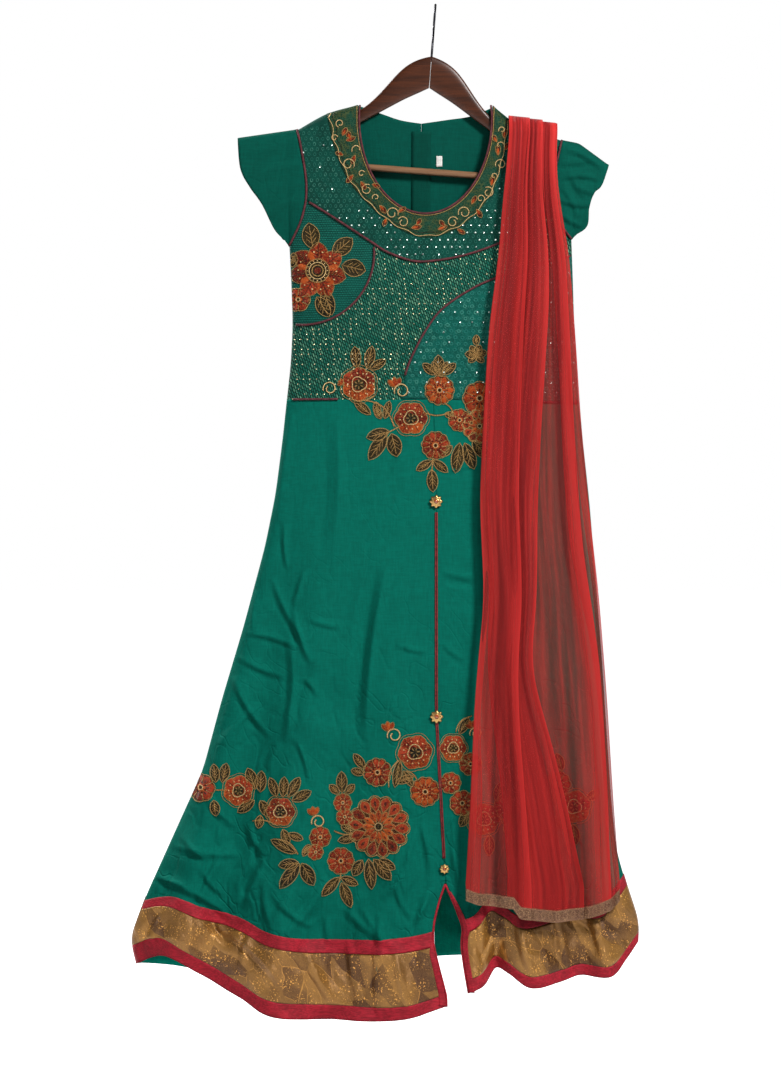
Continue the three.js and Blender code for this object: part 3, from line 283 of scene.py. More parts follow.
def creases(columns, x, z):
    """Short creases: height * sin(pi t)^0.7 * (p(d) - 0.6 p(d - 1.6)), with t along the crease's
    line, d the distance from it in widths, less the bow at t, and p(d) = exp(-root(d^2 + 0.02))."""
    out = np.zeros(np.broadcast(x, z).shape)
    for x1, z1, x2, z2, width, height, bow in zip(*columns.values()):
        long = math.hypot(x2 - x1, z2 - z1)
        right, down = (x2 - x1) / long, (z2 - z1) / long
        t = np.clip(((x - x1) * right + (z - z1) * down) / long, 0, 1)
        swing = np.sin(np.pi * t)
        away = (x - x1) * down - (z - z1) * right - bow * swing
        ridge = np.exp(0.14 - np.sqrt((away / width) ** 2 + 0.02))
        groove = np.exp(0.14 - np.sqrt((away / width - 1.6) ** 2 + 0.02))
        out += height * swing**0.7 * (ridge - 0.6 * groove)
    return out


def crumple(x, z, size, seed):
    """Sharp-edged crumples from -1 to 1: a mean over five directions of a triangle wave of that
    size, each wave's lines bent by a slow sine."""
    chance = np.random.default_rng(seed)
    total = np.zeros(np.broadcast(x, z).shape)
    for turn in chance.uniform(0, np.pi, 5) + np.arange(5) * 0.2:
        across = x * np.cos(turn) + z * np.sin(turn)
        along = z * np.cos(turn) - x * np.sin(turn)
        bent = across + 0.35 * size * np.sin(along / (1.3 * size) + chance.uniform(0, 6))
        wave = bent / (size * chance.uniform(0.8, 1.5)) + chance.uniform(0, 1)
        total += 4 * np.abs(wave - np.floor(wave + 0.5)) - 1
    return total / 5


def ramp(value, start, end):
    """0 before start, 1 past end, and a smooth step between."""
    t = np.clip((value - start) / (end - start), 0, 1)
    return t * t * (3 - 2 * t)


def smooth_depth(x, z, side):
    """How far the cloth stands from the middle plane without its creases, and its arch from 0 to
    1: edge + crown * arch + folds, where arch = sqrt(sin(pi u)) and u is the share across."""
    low = np.minimum(z, SIDE_LEFT["z"][0])
    left, right = left_side(low), right_side(low)
    arch = np.sqrt(np.sin(np.pi * np.clip((x - left) / (right - left), 0, 1)))
    long = folds(FRONT_FOLDS if side < 0 else BACK_FOLDS, x, z) * np.minimum(1, 2 * arch)
    return edge_depth(z) + crowns[side](z) * arch + long, arch


def depth(x, z, side):
    """Signed distance of the cloth's outer face from the middle plane, -1 in front, 1 behind:
    (smooth depth + creases) * turn, where turn draws the cloth in along a quarter circle under
    the line of the shoulders."""
    out, arch = smooth_depth(x, z, side)
    below = np.clip((top_line(x) - z) / FOLD_RADIUS, 0, 1)
    turn = np.sqrt(1 - (1 - below) ** 2)
    soft = creases(FRONT_CREASES if side < 0 else BACK_CREASES, x, z)
    for height, size, seed, start, full in CRUMPLES:
        soft = soft + height * crumple(x, z, size, seed + side) * ramp(-z, start, full)
    soft = soft * np.minimum(1, 3 * arch + 0.2) + creases(SLEEVE_CREASES, x, z)
    share = bpy.context.scene.kurta_cloth.crease_share
    return side * np.maximum(0.2, (out + share * soft) * turn)


def xyz(x, y, z):
    """Points from their coordinates, or arrays of them."""
    return np.stack(np.broadcast_arrays(x, y, z), -1)


def on_cloth(side, x, z, out=0.0):
    """Points over the cloth at (x, z), moved out along its normal: x, z and the depth's slopes
    by central differences give the normal (-dy/dx, 1, -dy/dz)."""
    x, z = np.broadcast_arrays(np.asarray(x, float), np.asarray(z, float))
    points = xyz(x, depth(x, z, side), z)
    if not np.any(out):
        return points
    steepest = 1.2
    slopes = [depth(x + 1, z, side) - depth(x - 1, z, side),
              depth(x, z + 1, side) - depth(x, z - 1, side)]
    slope_x, slope_z = np.clip(np.array(slopes) / 2, -steepest, steepest)
    away = side * xyz(-slope_x, 1.0, -slope_z)
    away /= np.linalg.norm(away, axis=-1, keepdims=True)
    return points + away * np.asarray(out)[..., None]


# ---- border lines and panels


def totals(steps):
    """Running totals of a row of steps, from 0."""
    return np.concatenate([[0], np.cumsum(steps)])


class Border:
    """A line from 0 to its number of steps, as a function that gives its points."""

    def __init__(self, points, steps):
        self.points, self.steps = points, steps

    def __call__(self, i):
        return self.points(np.asarray(i, float))

    def __add__(self, other):
        def points(i):
            first = self.points(np.minimum(i, self.steps))
            second = other.points(np.maximum(i - self.steps, 0))
            return np.where((i <= self.steps)[..., None], first, second)

        return Border(points, self.steps + other.steps)

    def turned(self):
        return Border(lambda i: self.points(self.steps - i), self.steps)

    def part(self, start, end):
        return Border(lambda i: self.points(start + i), end - start)

    def share(self, i):
        """How much of the line's length lies before each place, from 0 to 1."""
        ladder = np.linspace(0, self.steps, 40 * self.steps + 1)
        total = totals(np.linalg.norm(np.diff(self(ladder), axis=0), axis=1))
        return np.interp(i, ladder, total / total[-1])


def curve(columns):
    """A Catmull-Rom curve through a table's points, as a function of the share of its length:
    each stretch is the cubic with slopes half the chord between its neighbours."""
    knots = np.stack([columns["x"], columns["z"]], -1)
    ends = np.concatenate([knots[:1], knots, knots[-1:]])
    t = np.linspace(0, 1, 60, endpoint=False)[:, None]
    before, start, end, after = (ends[k : len(ends) - 3 + k, None] for k in range(4))
    lead, trail = (end - before) / 2, (after - start) / 2
    cubic = (2 * start - 2 * end + lead + trail) * t**3
    cubic = cubic + (-3 * start + 3 * end - 2 * lead - trail) * t**2 + lead * t + start
    line = np.concatenate([cubic.reshape(-1, 2), knots[-1:]])
    length = totals(np.linalg.norm(np.diff(line, axis=0), axis=1))
    length /= length[-1]
    return lambda share: np.stack([np.interp(share, length, line[:, k]) for k in (0, 1)], -1)


def even(columns, steps):
    """A curve in even steps of its length."""
    line = curve(columns)
    return Border(lambda i: line(i / steps), steps)


def at_shares(columns, shares):
    """A curve in steps that end at the given shares of its length."""
    line = curve(columns)
    return Border(lambda i: line(np.interp(i, np.arange(len(shares)), shares)), len(shares) - 1)


def at_heights(across, heights):
    """The border that reads x as a function of each height."""

    def points(i):
        z = np.interp(i, np.arange(len(heights)), heights)
        return np.stack([across(z), z], -1)

    return Border(points, len(heights) - 1)


def straight(start, end, steps):
    start, end = np.array(start, float), np.array(end, float)
    return Border(lambda i: start + (end - start) * (i / steps)[..., None], steps)


def arc(centre, radii, start, end, steps):
    """An ellipse's arc: centre + radii * (cos, sin) of the angle, which runs evenly."""

    def points(i):
        angle = np.radians(start + (end - start) * i / steps)
        return np.stack([np.cos(angle), np.sin(angle)], -1) * radii + centre

    return Border(points, steps)


def finely(counts, start=0):
    """Places along a border: each step from start on is cut into its own count."""
    cuts = [np.linspace(start + k, start + k + 1, n, endpoint=False) for k, n in enumerate(counts)]
    return np.concatenate([*cuts, [start + len(counts)]])


class Panel:
    """A patch spanned between four borders by Coons's rule: the two ruled surfaces between
    opposite borders, less the bilinear patch of the corners."""

    def __init__(self, top, bottom, left, right):
        self.top, self.bottom, self.left, self.right = top, bottom, left, right

    def __call__(self, i, j):
        top, bottom, left, right = self.top, self.bottom, self.left, self.right
        u = ((top.share(i) + bottom.share(i)) / 2)[None, :, None]
        v = ((left.share(j) + right.share(j)) / 2)[:, None, None]
        ruled = (1 - v) * top(i) + v * bottom(i)
        ruled = ruled + (1 - u) * left(j)[:, None] + u * right(j)[:, None]
        first, last = top(np.array([0.0, top.steps])), bottom(np.array([0.0, bottom.steps]))
        corners = (1 - u) * (1 - v) * first[0] + u * (1 - v) * first[1]
        return ruled - corners - (1 - u) * v * last[0] - u * v * last[1]


def neck_line(inset):
    """The neckline, drawn in by a distance: an ellipse's lower part."""
    radii = (NECK["half_width"] - inset, NECK["depth"] - inset)
    return arc((NECK["x"], NECK["z"]), radii, 180 - NECK["rise"], 360 + NECK["rise"], 24)


left_armhole = reading(ARMHOLE_LEFT, "z", "x", 24)
right_armhole = reading(ARMHOLE_RIGHT, "z", "x", 24)
centre_back = reading(CENTRE_BACK, "z", "x", 40)
centre_front = reading(CENTRE_FRONT, "z", "x", 40)
left_slit = reading(SLIT_LEFT, "z", "x", 16)
right_slit = reading(SLIT_RIGHT, "z", "x", 16)
ARM_UPPER_LEFT = [-187, -195, -225, -260, -294]
ARM_LOWER_LEFT = [-294, -328, -363]
ARM_UPPER_RIGHT = [-203, -211, -240, -275, -305]
ARM_LOWER_RIGHT = [-305, -328, -352]
SLIT_TOP = -1316


def front_edge(slit):
    """The centre-front seam, and below the slit's top one edge of the slit."""
    return lambda z: np.where(z > SLIT_TOP, centre_front(z), slit(z))


class Yoke:
    """Rings from the neckline out to the yoke's seam: straight lines join the neckline, the neck
    band's edge and the seam, at places 0, 1 and 3."""

    columns = 20

    def __init__(self):
        count, neck = self.columns, neck_line(0)
        shares = [0, *np.linspace(0.02, 0.98, count - 1), 1]
        self.neck = Border(
            lambda i: neck(neck.steps * neck_share(np.interp(i, range(count + 1), shares))), count
        )
        self.band = at_shares(BAND_EDGE, [0, *np.linspace(0.016, 0.984, count - 1), 1])
        self.outer = (
            at_heights(left_armhole, ARM_UPPER_LEFT)
            + even(YOKE_SEAM_LEFT, 3)
            + even(YOKE_SEAM, 9)
            + at_heights(right_armhole, ARM_UPPER_RIGHT).turned()
        )

    def __call__(self, i, j):
        v = np.asarray(j, float)[:, None, None]
        inner = self.neck(i) + (self.band(i) - self.neck(i)) * np.minimum(v, 1)
        return inner + (self.outer(i) - self.band(i)) * np.maximum(v - 1, 0) / 2


def neck_share(share):
    """The angle's share of the neckline's arc at a share of its length."""
    neck, ladder = neck_line(0), np.linspace(0, 1, 400)
    return np.interp(share, neck.share(neck.steps * ladder), ladder)


cup_arc = arc((CUP["x"], CUP["z"]), (CUP["radius"], CUP["radius"]), CUP["start"], CUP["end"], 7)
side_curve = even(SIDE_CURVE, 9)
WAIST_LEFT, WAIST_CURVE = (-224, -593), (-52, -593)
WAIST_CENTRE, WAIST_RIGHT = (-4, -594), (216, -598)

yoke = Yoke()
bust = Panel(
    even(YOKE_SEAM_LEFT, 3),
    cup_arc.part(4, 7).turned(),
    at_heights(left_armhole, ARM_LOWER_LEFT) + at_heights(left_side, [-363, -420, -480]),
    cup_arc.part(0, 4),
)
centre = Panel(
    cup_arc.turned() + even(YOKE_SEAM, 9),
    straight(WAIST_LEFT, WAIST_CURVE, 7) + side_curve.turned(),
    at_heights(left_side, [-480, -518, -556, -593]),
    at_heights(right_armhole, ARM_LOWER_RIGHT) + at_heights(right_side, [-352, -376]),
)
flank = Panel(
    side_curve.part(0, 5).turned(),
    straight(WAIST_CURVE, WAIST_RIGHT, 5),
    side_curve.part(5, 9),
    at_heights(right_side, [-376, -430, -490, -545, -598]),
)
skirt_left = Panel(
    straight(WAIST_LEFT, WAIST_CENTRE, 9),
    even(HEM_LEFT, 9),
    at_heights(left_side, SKIRT_LEFT["outer"]),
    at_heights(front_edge(left_slit), SKIRT_LEFT["seam"]),
)
skirt_right = Panel(
    straight(WAIST_CENTRE, WAIST_RIGHT, 9),
    even(HEM_RIGHT, 9),
    at_heights(front_edge(right_slit), SKIRT_RIGHT["seam"]),
    at_heights(right_side, SKIRT_RIGHT["outer"]),
)


def outer_edge(armhole, side):
    """The back's outer edge: the armhole down to the underarm, then the side."""
    return lambda z: np.where(z > -360, armhole(z), side(z))


back_left = Panel(
    even(SHOULDER_LEFT, 4).turned() + at_shares(BACK_NECK, [0, 0.1, 0.4, 0.7, 1]),
    even(HEM_BACK_LEFT, 8),
    at_heights(outer_edge(left_armhole, left_side), BACK_LEFT["outer"]),
    at_heights(centre_back, BACK_LEFT["seam"]),
)
back_right = Panel(
    at_shares(BACK_NECK_RIGHT, [0, 0.3, 0.6, 0.9, 1]) + even(SHOULDER_RIGHT, 4),
    even(HEM_BACK_RIGHT, 8),
    at_heights(centre_back, BACK_RIGHT["seam"]),
    at_heights(outer_edge(right_armhole, right_side), BACK_RIGHT["outer"]),
)


def cuts(heights, step):
    """How many cuts of about a step each interval between heights takes."""
    return [max(2, round(abs(b - a) / step)) for a, b in zip(heights, heights[1:])]


# ---- meshes


def full_turn(count):
    """Angles evenly round a circle."""
    return np.linspace(0, 2 * np.pi, count, endpoint=False)


class Faces:
    """Grids of faces gathered into one mesh. Each point carries lay, three values that the
    finishes read: places across and along the thread or cloth, and a tint or share."""

    def __init__(self):
        self.points, self.quads, self.finish, self.lay, self.count = [], [], [], [], 0

    def grid(self, points, lay=None, finish=0, turned=False, ring=False):
        """Adds one grid, or a stack of equal grids: rows x columns of points. Seen from outside,
        rows run down and columns to the right, unless turned. Gives the faces back."""
        points = points.reshape(-1, *points.shape[-3:])
        copies, rows, columns = points.shape[:3]
        index = np.arange(rows * columns).reshape(rows, columns)
        if ring:
            index = np.concatenate([index, index[:, :1]], 1)
        corners = [index[:-1, :-1], index[1:, :-1], index[1:, 1:], index[:-1, 1:]]
        quads = np.stack(corners, -1).reshape(-1, 4)
        if turned:
            quads = quads[:, ::-1]
        starts = self.count + np.arange(copies) * rows * columns
        quads = (starts[:, None, None] + quads).reshape(-1, 4)
        lay = np.zeros(3) if lay is None else lay
        self.points.append(points.reshape(-1, 3))
        self.lay.append(np.broadcast_to(lay, points.shape).reshape(-1, 3))
        self.quads.append(quads)
        self.finish.append(np.full(len(quads), finish))
        self.count += copies * rows * columns
        return self

    def rod(self, path, radius, sides, finish=0):
        """Round rods along a path, or a stack of paths: rings of the radius in the plane across
        each point, closed at both ends. Their lay runs round from 0 to 1 and along in mm."""
        path = np.asarray(path, float)
        way = np.gradient(path, axis=-2)
        way /= np.linalg.norm(way, axis=-1, keepdims=True) + 1e-9
        up = np.where(np.abs(way[..., 1:2]) < 0.8, [0.0, 1.0, 0.0], [1.0, 0.0, 0.0])
        first = np.cross(way, up)
        first /= np.linalg.norm(first, axis=-1, keepdims=True)
        second = np.cross(way, first)
        closed = [0, *range(path.shape[-2]), -1]
        path, first, second = path[..., closed, :], first[..., closed, :], second[..., closed, :]
        size = np.full(path.shape[:-1], float(radius))
        size[..., [0, -1]] = 0
        angle = full_turn(sides)[:, None]
        ring = np.cos(angle) * first[..., None, :] + np.sin(angle) * second[..., None, :]
        points = path[..., None, :] + size[..., None, None] * ring
        step = np.linalg.norm(np.diff(path, axis=-2, prepend=path[..., :1, :]), axis=-1)
        lay = np.zeros(points.shape)
        lay[..., 0] = np.linspace(0, 1, sides, endpoint=False)
        lay[..., 1] = np.cumsum(step, -1)[..., None]
        return self.grid(points, lay, finish, turned=True, ring=True)

    def build(self, name, finishes, place=None, thick=0, weld=False, inner_offset=0):
        """The mesh as an object. place maps all its points at once, thick gives it a wall, and
        lining is how many finishes on the wall's inner face has its own."""
        points = np.concatenate(self.points)
        if place:
            points = place(points)
        quads = np.concatenate(self.quads)
        mesh = bpy.data.meshes.new(name)
        mesh.from_pydata(points * MM, [], quads)
        mesh.attributes.new("lay", "FLOAT_VECTOR", "POINT")
        mesh.attributes["lay"].data.foreach_set("vector", np.concatenate(self.lay).ravel())
        for finish in finishes:
            mesh.materials.append(finish)
        mesh.polygons.foreach_set("material_index", np.concatenate(self.finish).astype(np.int32))
        mesh.polygons.foreach_set("use_smooth", np.ones(len(quads), bool))
        mesh.update()
        obj = bpy.data.objects.new(name, mesh)
        bpy.context.scene.collection.objects.link(obj)
        if weld:
            obj.modifiers.new("poles", "WELD").merge_threshold = 0.02 * MM
        if thick:
            wall = obj.modifiers.new("wall", "SOLIDIFY")
            wall.thickness, wall.offset = thick * MM, -1
            wall.use_even_offset = False
            wall.material_offset = inner_offset
        return obj


def piece(obj, slot, *nodes):
    """Declares what a piece rides on, its finish's slot and the CAD nodes it stands for."""
    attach(obj, GARMENT)
    if nodes:
        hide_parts(*nodes)
    return obj


def cloth_piece(obj, slot, flat, *nodes):
    """A piece cut from cloth: flat is the width and length in mm of the rectangle it is cut from,
    and the mesh's outer face has the cut's area."""
    piece(obj, slot, *nodes)
    areas = np.zeros(len(obj.data.polygons))
    obj.data.polygons.foreach_get("area", areas)
    cut = flat[0] * MM, flat[1] * MM
    return obj


# ---- shader arithmetic


def operation(name):
    """A method that adds the Math node of that name."""
    return lambda value, *others: value.math(name, *others)


def channel(index):
    """One channel of a vector or colour."""
    separate = "ShaderNodeSeparateXYZ"
    return property(lambda value: value.finish.node(separate, None, {0: value}, index))


class Value:
    """An output socket of a finish's node tree, on which arithmetic adds Math nodes."""

    floor, fract, abs, sine = map(operation, ("FLOOR", "FRACT", "ABSOLUTE", "SINE"))
    root, power, least, most = map(operation, ("SQRT", "POWER", "MINIMUM", "MAXIMUM"))
    __add__ = __radd__ = operation("ADD")
    __mul__ = __rmul__ = operation("MULTIPLY")
    __sub__, __truediv__ = operation("SUBTRACT"), operation("DIVIDE")
    x, y, z = map(channel, range(3))

    def __init__(self, finish, socket):
        self.finish, self.socket = finish, socket

    def __rsub__(self, other):
        return self * -1 + other

    def math(self, name, *others, clamp=False):
        settings = {"operation": name, "use_clamp": clamp}
        return self.finish.node("ShaderNodeMath", settings, dict(enumerate((self, *others))))

    def clipped(self):
        return self.math("ADD", 0.0, clamp=True)

    def ramp(self, start, end, low=0.0, high=1.0):
        """low up to start, high from end on, and a smooth step between."""
        settings = {"interpolation_type": "SMOOTHSTEP", "clamp": True}
        ends = {"Value": self, "From Min": start, "From Max": end, "To Min": low, "To Max": high}
        return self.finish.node("ShaderNodeMapRange", settings, ends)

    def scaled(self, by):
        """A vector times a number."""
        scale = {0: self, "Scale": by}
        return self.finish.node("ShaderNodeVectorMath", {"operation": "SCALE"}, scale)

    def stretched(self, by):
        """A vector times another, axis by axis."""
        axes = {0: self, 1: by}
        return self.finish.node("ShaderNodeVectorMath", {"operation": "MULTIPLY"}, axes)

    def noise(self, size, detail, rough=0.5, output=0):
        """Soft noise, mostly 0.3 to 0.7, whose waves are about size mm long."""
        values = {"Vector": self, "Scale": 1 / size, "Detail": detail, "Roughness": rough}
        return self.finish.node("ShaderNodeTexNoise", None, values, output)

    def cells(self, size, output="Distance", feature="F1"):
        values = {"Vector": self, "Scale": 1 / size}
        return self.finish.node("ShaderNodeTexVoronoi", {"feature": feature}, values, output)

    def chance(self):
        return self.finish.node("ShaderNodeTexWhiteNoise", None, {"Vector": self}, "Value")

    def mixed(self, first, second):
        """A colour between two colours, by this share of the second."""
        colours = {0: self, 6: opaque(first), 7: opaque(second)}
        return self.finish.node("ShaderNodeMix", {"data_type": "RGBA"}, colours, 2)


class Finish:
    """A material built from nodes. Lengths in its patterns are in millimetres."""

    def __init__(self, name):
        self.material = bpy.data.materials.new(name)
        self.material.use_nodes = True
        self.tree = self.material.node_tree
        self.tree.nodes.clear()

    def node(self, kind, settings=None, inputs=None, output=0):
        """Adds a node and gives one of its outputs."""
        node = self.tree.nodes.new(kind)
        for key, value in (settings or {}).items():
            setattr(node, key, value)
        for key, value in (inputs or {}).items():
            if isinstance(value, Value):
                self.tree.links.new(value.socket, node.inputs[key])
            else:
                node.inputs[key].default_value = value
        return Value(self, node.outputs[output])

    @cached_property
    def place(self):
        """The point in the object's own coordinates, in mm."""
        return self.node("ShaderNodeTexCoord", output="Object").scaled(1 / MM)

    @cached_property
    def lay(self):
        return self.node("ShaderNodeAttribute", {"attribute_name": "lay"}, output="Vector")

    def joined(self, x, y, z=0.0):
        return self.node("ShaderNodeCombineXYZ", None, {0: x, 1: y, 2: z})

    def surface(self, color, roughness, metallic=0.0, height=None, alpha=None, **constants):
        """Ends the tree: color, roughness and metallic, a relief height in mm and the rest of
        the Principled BSDF's inputs by name."""
        inputs = {"Base Color": opaque(color), "Roughness": roughness, "Metallic": metallic}
        if height is not None:
            bump = {"Strength": 1.0, "Distance": MM, "Height": height}
            inputs["Normal"] = self.node("ShaderNodeBump", None, bump)
        if alpha is not None:
            inputs["Alpha"] = alpha
        for name, value in constants.items():
            inputs[name.replace("_", " ").title().replace("Ior", "IOR")] = value
        shader = self.node("ShaderNodeBsdfPrincipled", None, inputs)
        output = self.tree.nodes.new("ShaderNodeOutputMaterial")
        self.tree.links.new(shader.socket, output.inputs["Surface"])
        return self.material


def opaque(color):
    """A colour as four channels, unless it comes from a node."""
    return color if isinstance(color, Value) or len(color) == 4 else (*color, 1.0)


def linear(red, green, blue):
    """A colour given by its sRGB values from 0 to 255."""
    shares = np.array([red, green, blue]) / 255
    return tuple(np.where(shares < 0.04, shares / 12.92, ((shares + 0.055) / 1.055) ** 2.4))


# ---- finishes


def shade(color, by):
    """A colour made lighter or darker by a factor."""
    return tuple(float(channel) * by for channel in color)


def waves(value, pitch):
    """A sine wave with the pitch in mm."""
    return (value * (2 * math.pi / pitch)).sine()


def weave(finish):
    """Relief of a plain weave: two crossed sine waves."""
    place = finish.place
    return waves(place.x, 0.7) * waves(place.z, 0.7) * 0.05


def cotton(name, color, crease=0.0, painted_light_and_shade=((0, 1.0),)):
    """Plain woven cotton: a faint weave with longer slubs. Its short sharp creases lie where a
    soft noise passes its middle, and grow deeper towards the hem. shades gives from the hem up
    the heights where the colour's strength changes, for cloth seen from its shadowed side."""
    finish = Finish(name)
    place = finish.place
    slub = place.stretched((1.0, 1.0, 0.12)).noise(2.2, 3.0)
    weft = place.stretched((0.12, 1.0, 1.0)).noise(2.2, 3.0)
    worn = (slub * 0.5 + weft * 0.5).ramp(0.3, 0.7, 0.86, 1.12)
    relief = weave(finish) + (slub + weft) * 0.12
    # Painted light and shade: the colour is made brighter or darker, step by step, with height.
    tinted = shade(color, painted_light_and_shade[0][1])
    for (start, _), (end, by) in zip(painted_light_and_shade, painted_light_and_shade[1:]):
        tinted = place.z.ramp(start, end).mixed(tinted, shade(color, by))
    tinted = finish.joined(worn, worn, worn).stretched(tinted)
    if crease:
        low = place.z.ramp(-1330, -820, 1.0, 0.2)
        long = place.stretched((1.0, 1.0, 0.45))
        sharp = (long.noise(40, 1.0) - 0.5).abs().ramp(0.0, 0.08)
        turned = {"Vector": place, "Angle": 0.7}
        slant = finish.node("ShaderNodeVectorRotate", {"rotation_type": "Y_AXIS"}, turned)
        slant = slant.stretched((1.0, 1.0, 0.5))
        small = (slant.noise(30, 1.5) - 0.5).abs().ramp(0.0, 0.03)
        there = place.noise(70, 1.0).ramp(0.42, 0.58)
        relief = relief + (sharp + small * there * 0.8) * low * crease
    return finish.surface(tinted, 0.86, height=relief, specular_ior_level=0.08)


def bricks(finish, wide, high, slant=0.0):
    """Cells in a brick pattern over x and z: places u and v in a cell from -0.5 to 0.5, and the
    cell's own number."""
    place = finish.place
    wobble = place.noise(30, 1.0, output="Color")
    x = place.x + wobble.x * (0.5 * wide)
    z = place.z + wobble.y * (0.5 * high)
    row = (z * (1 / high) + x * (slant / high)).floor()
    across = x * (1 / wide) + row * 0.5
    column = across.floor()
    up = (z * (1 / high) + x * (slant / high)).fract() - 0.5
    return across.fract() - 0.5, up, finish.joined(column, row)


def embroidered(name, pattern, ground, thread, glint, height=0.6):
    """Cloth covered with stitches. The pattern gives, from the finish, how much thread covers
    each place and a tint from 0 to 1 for it."""
    finish = Finish(name)
    place = finish.place
    cover, tint = pattern(finish)
    fine = place.noise(1.2, 2.0)
    base = place.noise(14, 3.0).ramp(0.35, 0.65).mixed(shade(ground, 0.7), ground)
    lit = tint.mixed(thread, glint)
    lit = fine.ramp(0.3, 0.7, 0.0, 0.45).mixed(lit, shade(thread, 0.55))
    color = cover.mixed(base, lit)
    relief = cover * height + weave(finish) + fine * 0.25
    return finish.surface(color, cover * -0.25 + 0.8, height=relief, specular_ior_level=0.15)


# The slanted line under the shoulders where the yoke's stitches end: its slope, and its drop at
# x = 0 in mm.
YOKE_SLOPE, YOKE_DROP = 0.236, 140


def oval_pattern(finish):
    """Rows of small oval outlines, up to a slanted line under the shoulder."""
    across, up, cell = bricks(finish, 8.2, 7.8)
    away = ((across * across * 2.0 + up * up).root() - 0.3).abs()
    ring = away.ramp(0.03, 0.12, 1.0, 0.0)
    place = finish.place
    below = place.x * YOKE_SLOPE - place.z - YOKE_DROP
    tint = cell.chance().power(2.0) * place.noise(2.4, 2.0).ramp(0.35, 0.65)
    return ring * below.ramp(-2, 2), tint


def grid_pattern(finish):
    """Close rows of short flat stitches."""
    across, up, cell = bricks(finish, 3.8, 3.4)
    away = (across * across * 0.7 + up * up * 1.6).root()
    return away.ramp(0.28, 0.46, 1.0, 0.0), cell.chance()


def drop_pattern(finish):
    """Close slanted drops: an ellipse in each cell, turned a little."""
    across, up, cell = bricks(finish, 4.2, 5.8, 0.6)
    lean = across + up * 0.45
    away = (lean * lean * 1.9 + up * up).root()
    return away.ramp(0.3, 0.52, 1.0, 0.0), cell.chance().power(3.0)


def ring_pattern(finish):
    """Small rings, and loose stitches between them."""
    across, up, cell = bricks(finish, 10.5, 9.5)
    ring = ((across * across + up * up).root() - 0.22).abs().ramp(0.04, 0.12, 1.0, 0.0)
    loose = finish.place.noise(2.6, 2.0).ramp(0.5, 0.62, 0.0, 0.5)
    return ring.most(loose), cell.chance().power(2.0) * 0.7


def moss_pattern(finish):
    """Wandering lines of thread: the borders of small cells."""
    place = finish.place
    lines = place.cells(3.4, feature="DISTANCE_TO_EDGE").ramp(0.06, 0.16, 1.0, 0.0)
    loose = place.noise(1.6, 2.0).ramp(0.5, 0.6, 0.0, 0.6)
    return lines.most(loose), place.noise(12, 2.0).ramp(0.4, 0.6)


def brocade(name, light, dark):
    """Woven metal thread, crushed into flat slanting facets: bent cells, each with a tone of its
    own and a bright thin edge here and there, under soft folds; fine ribs and glinting specks."""
    finish = Finish(name)
    place = finish.place
    bent = place.noise(60, 2.0, output="Color").scaled(24.0)
    net = finish.node("ShaderNodeVectorMath", {"operation": "ADD"}, {0: place, 1: bent})
    x, z = net.x, net.z
    slanted = finish.joined(x * 0.8 + z * 0.5, 0.0, (z * 0.8 - x * 0.5) * 0.5)
    facet = slanted.cells(30, "Color").x
    edge = slanted.cells(30, feature="DISTANCE_TO_EDGE")
    face = slanted.noise(44, 2.0, 0.45)
    # Painted light and shade of the facets: each cell's tone and the soft folds' noise.
    lit = facet.ramp(0.25, 0.6) * 0.55 + face.ramp(0.44, 0.56) * 0.45
    # Painted highlight along a thin edge of some cells.
    fold = edge.ramp(0.0, 0.016, 1.0, 0.0) * place.noise(45, 1.0).ramp(0.52, 0.6)
    x, z = place.x, place.z
    ribs = waves(z, 1.5) * 0.5 + waves(x, 2.2) * 0.5
    grain = place.noise(1.6, 2.0)
    worn = place.noise(22, 3.0, 0.6)
    speck = place.noise(2.4, 1.0)
    glint = speck.ramp(0.6, 0.68) * place.noise(18, 2.0).ramp(0.42, 0.6)
    # The tone runs between the gold's shadow colour and its lit colour; the worn noise here paints
    # patches of light and shade, not wear.
    tone = (lit * 0.75 + worn * 0.4 + grain * 0.7 - 0.45).clipped()
    color = tone.mixed(dark, light)
    # Painted glints and highlights, 2.6 times as bright as the lit gold.
    color = (glint * 0.9).most(fold * 0.4).mixed(color, shade(light, 2.6))
    relief = ribs * 0.1 + face * 9.0 + edge.least(0.4) * 5.0 + worn * 2.0 + speck * 0.3
    return finish.surface(color, tone * -0.12 + 0.5, 0.4, height=relief)


def raw_silk(name, color):
    """Raw silk: uneven threads across, and a soft sheen."""
    finish = Finish(name)
    place = finish.place
    slub = place.stretched((0.08, 1.0, 1.0)).noise(1.6, 3.0)
    worn = place.noise(18, 4.0, 0.6)
    tinted = (slub * 0.6 + worn * 0.5).ramp(0.4, 0.7).mixed(shade(color, 0.5), color)
    relief = slub * 0.35 + worn * 1.6 + weave(finish)
    return finish.surface(tinted, 0.62, height=relief, specular_ior_level=0.25)


def thread(name, color, dark, glint=0.7):
    """Embroidery thread laid side by side: lines across lay's first value in mm, each of them a
    little lighter or darker, lay's third value as a tint, and glints of gold between."""
    finish = Finish(name)
    across, tint = finish.lay.x, finish.lay.z
    lines = waves(across, 0.8)
    tone = finish.place.noise(2.4, 3.0) * 0.9 + tint * 0.35
    tinted = tone.ramp(0.38, 0.8).mixed(dark, color)
    speck = finish.place.noise(1.5, 2.0).ramp(0.59, 0.67, 0.0, glint)
    tinted = speck.mixed(tinted, (0.62, 0.36, 0.1))
    return finish.surface(tinted, 0.5, height=lines * 0.3, specular_ior_level=0.2)


def cord(name, color, dark):
    """Twisted cord: slanting lines round a rod whose lay is round and along it."""
    finish = Finish(name)
    twist = waves(finish.lay.x + finish.lay.y * (1 / 2.4), 1.0)
    color = twist.ramp(-0.8, 0.6).mixed(dark, color)
    return finish.surface(color, 0.4, 0.3, height=twist * 0.25, specular_ior_level=0.3)


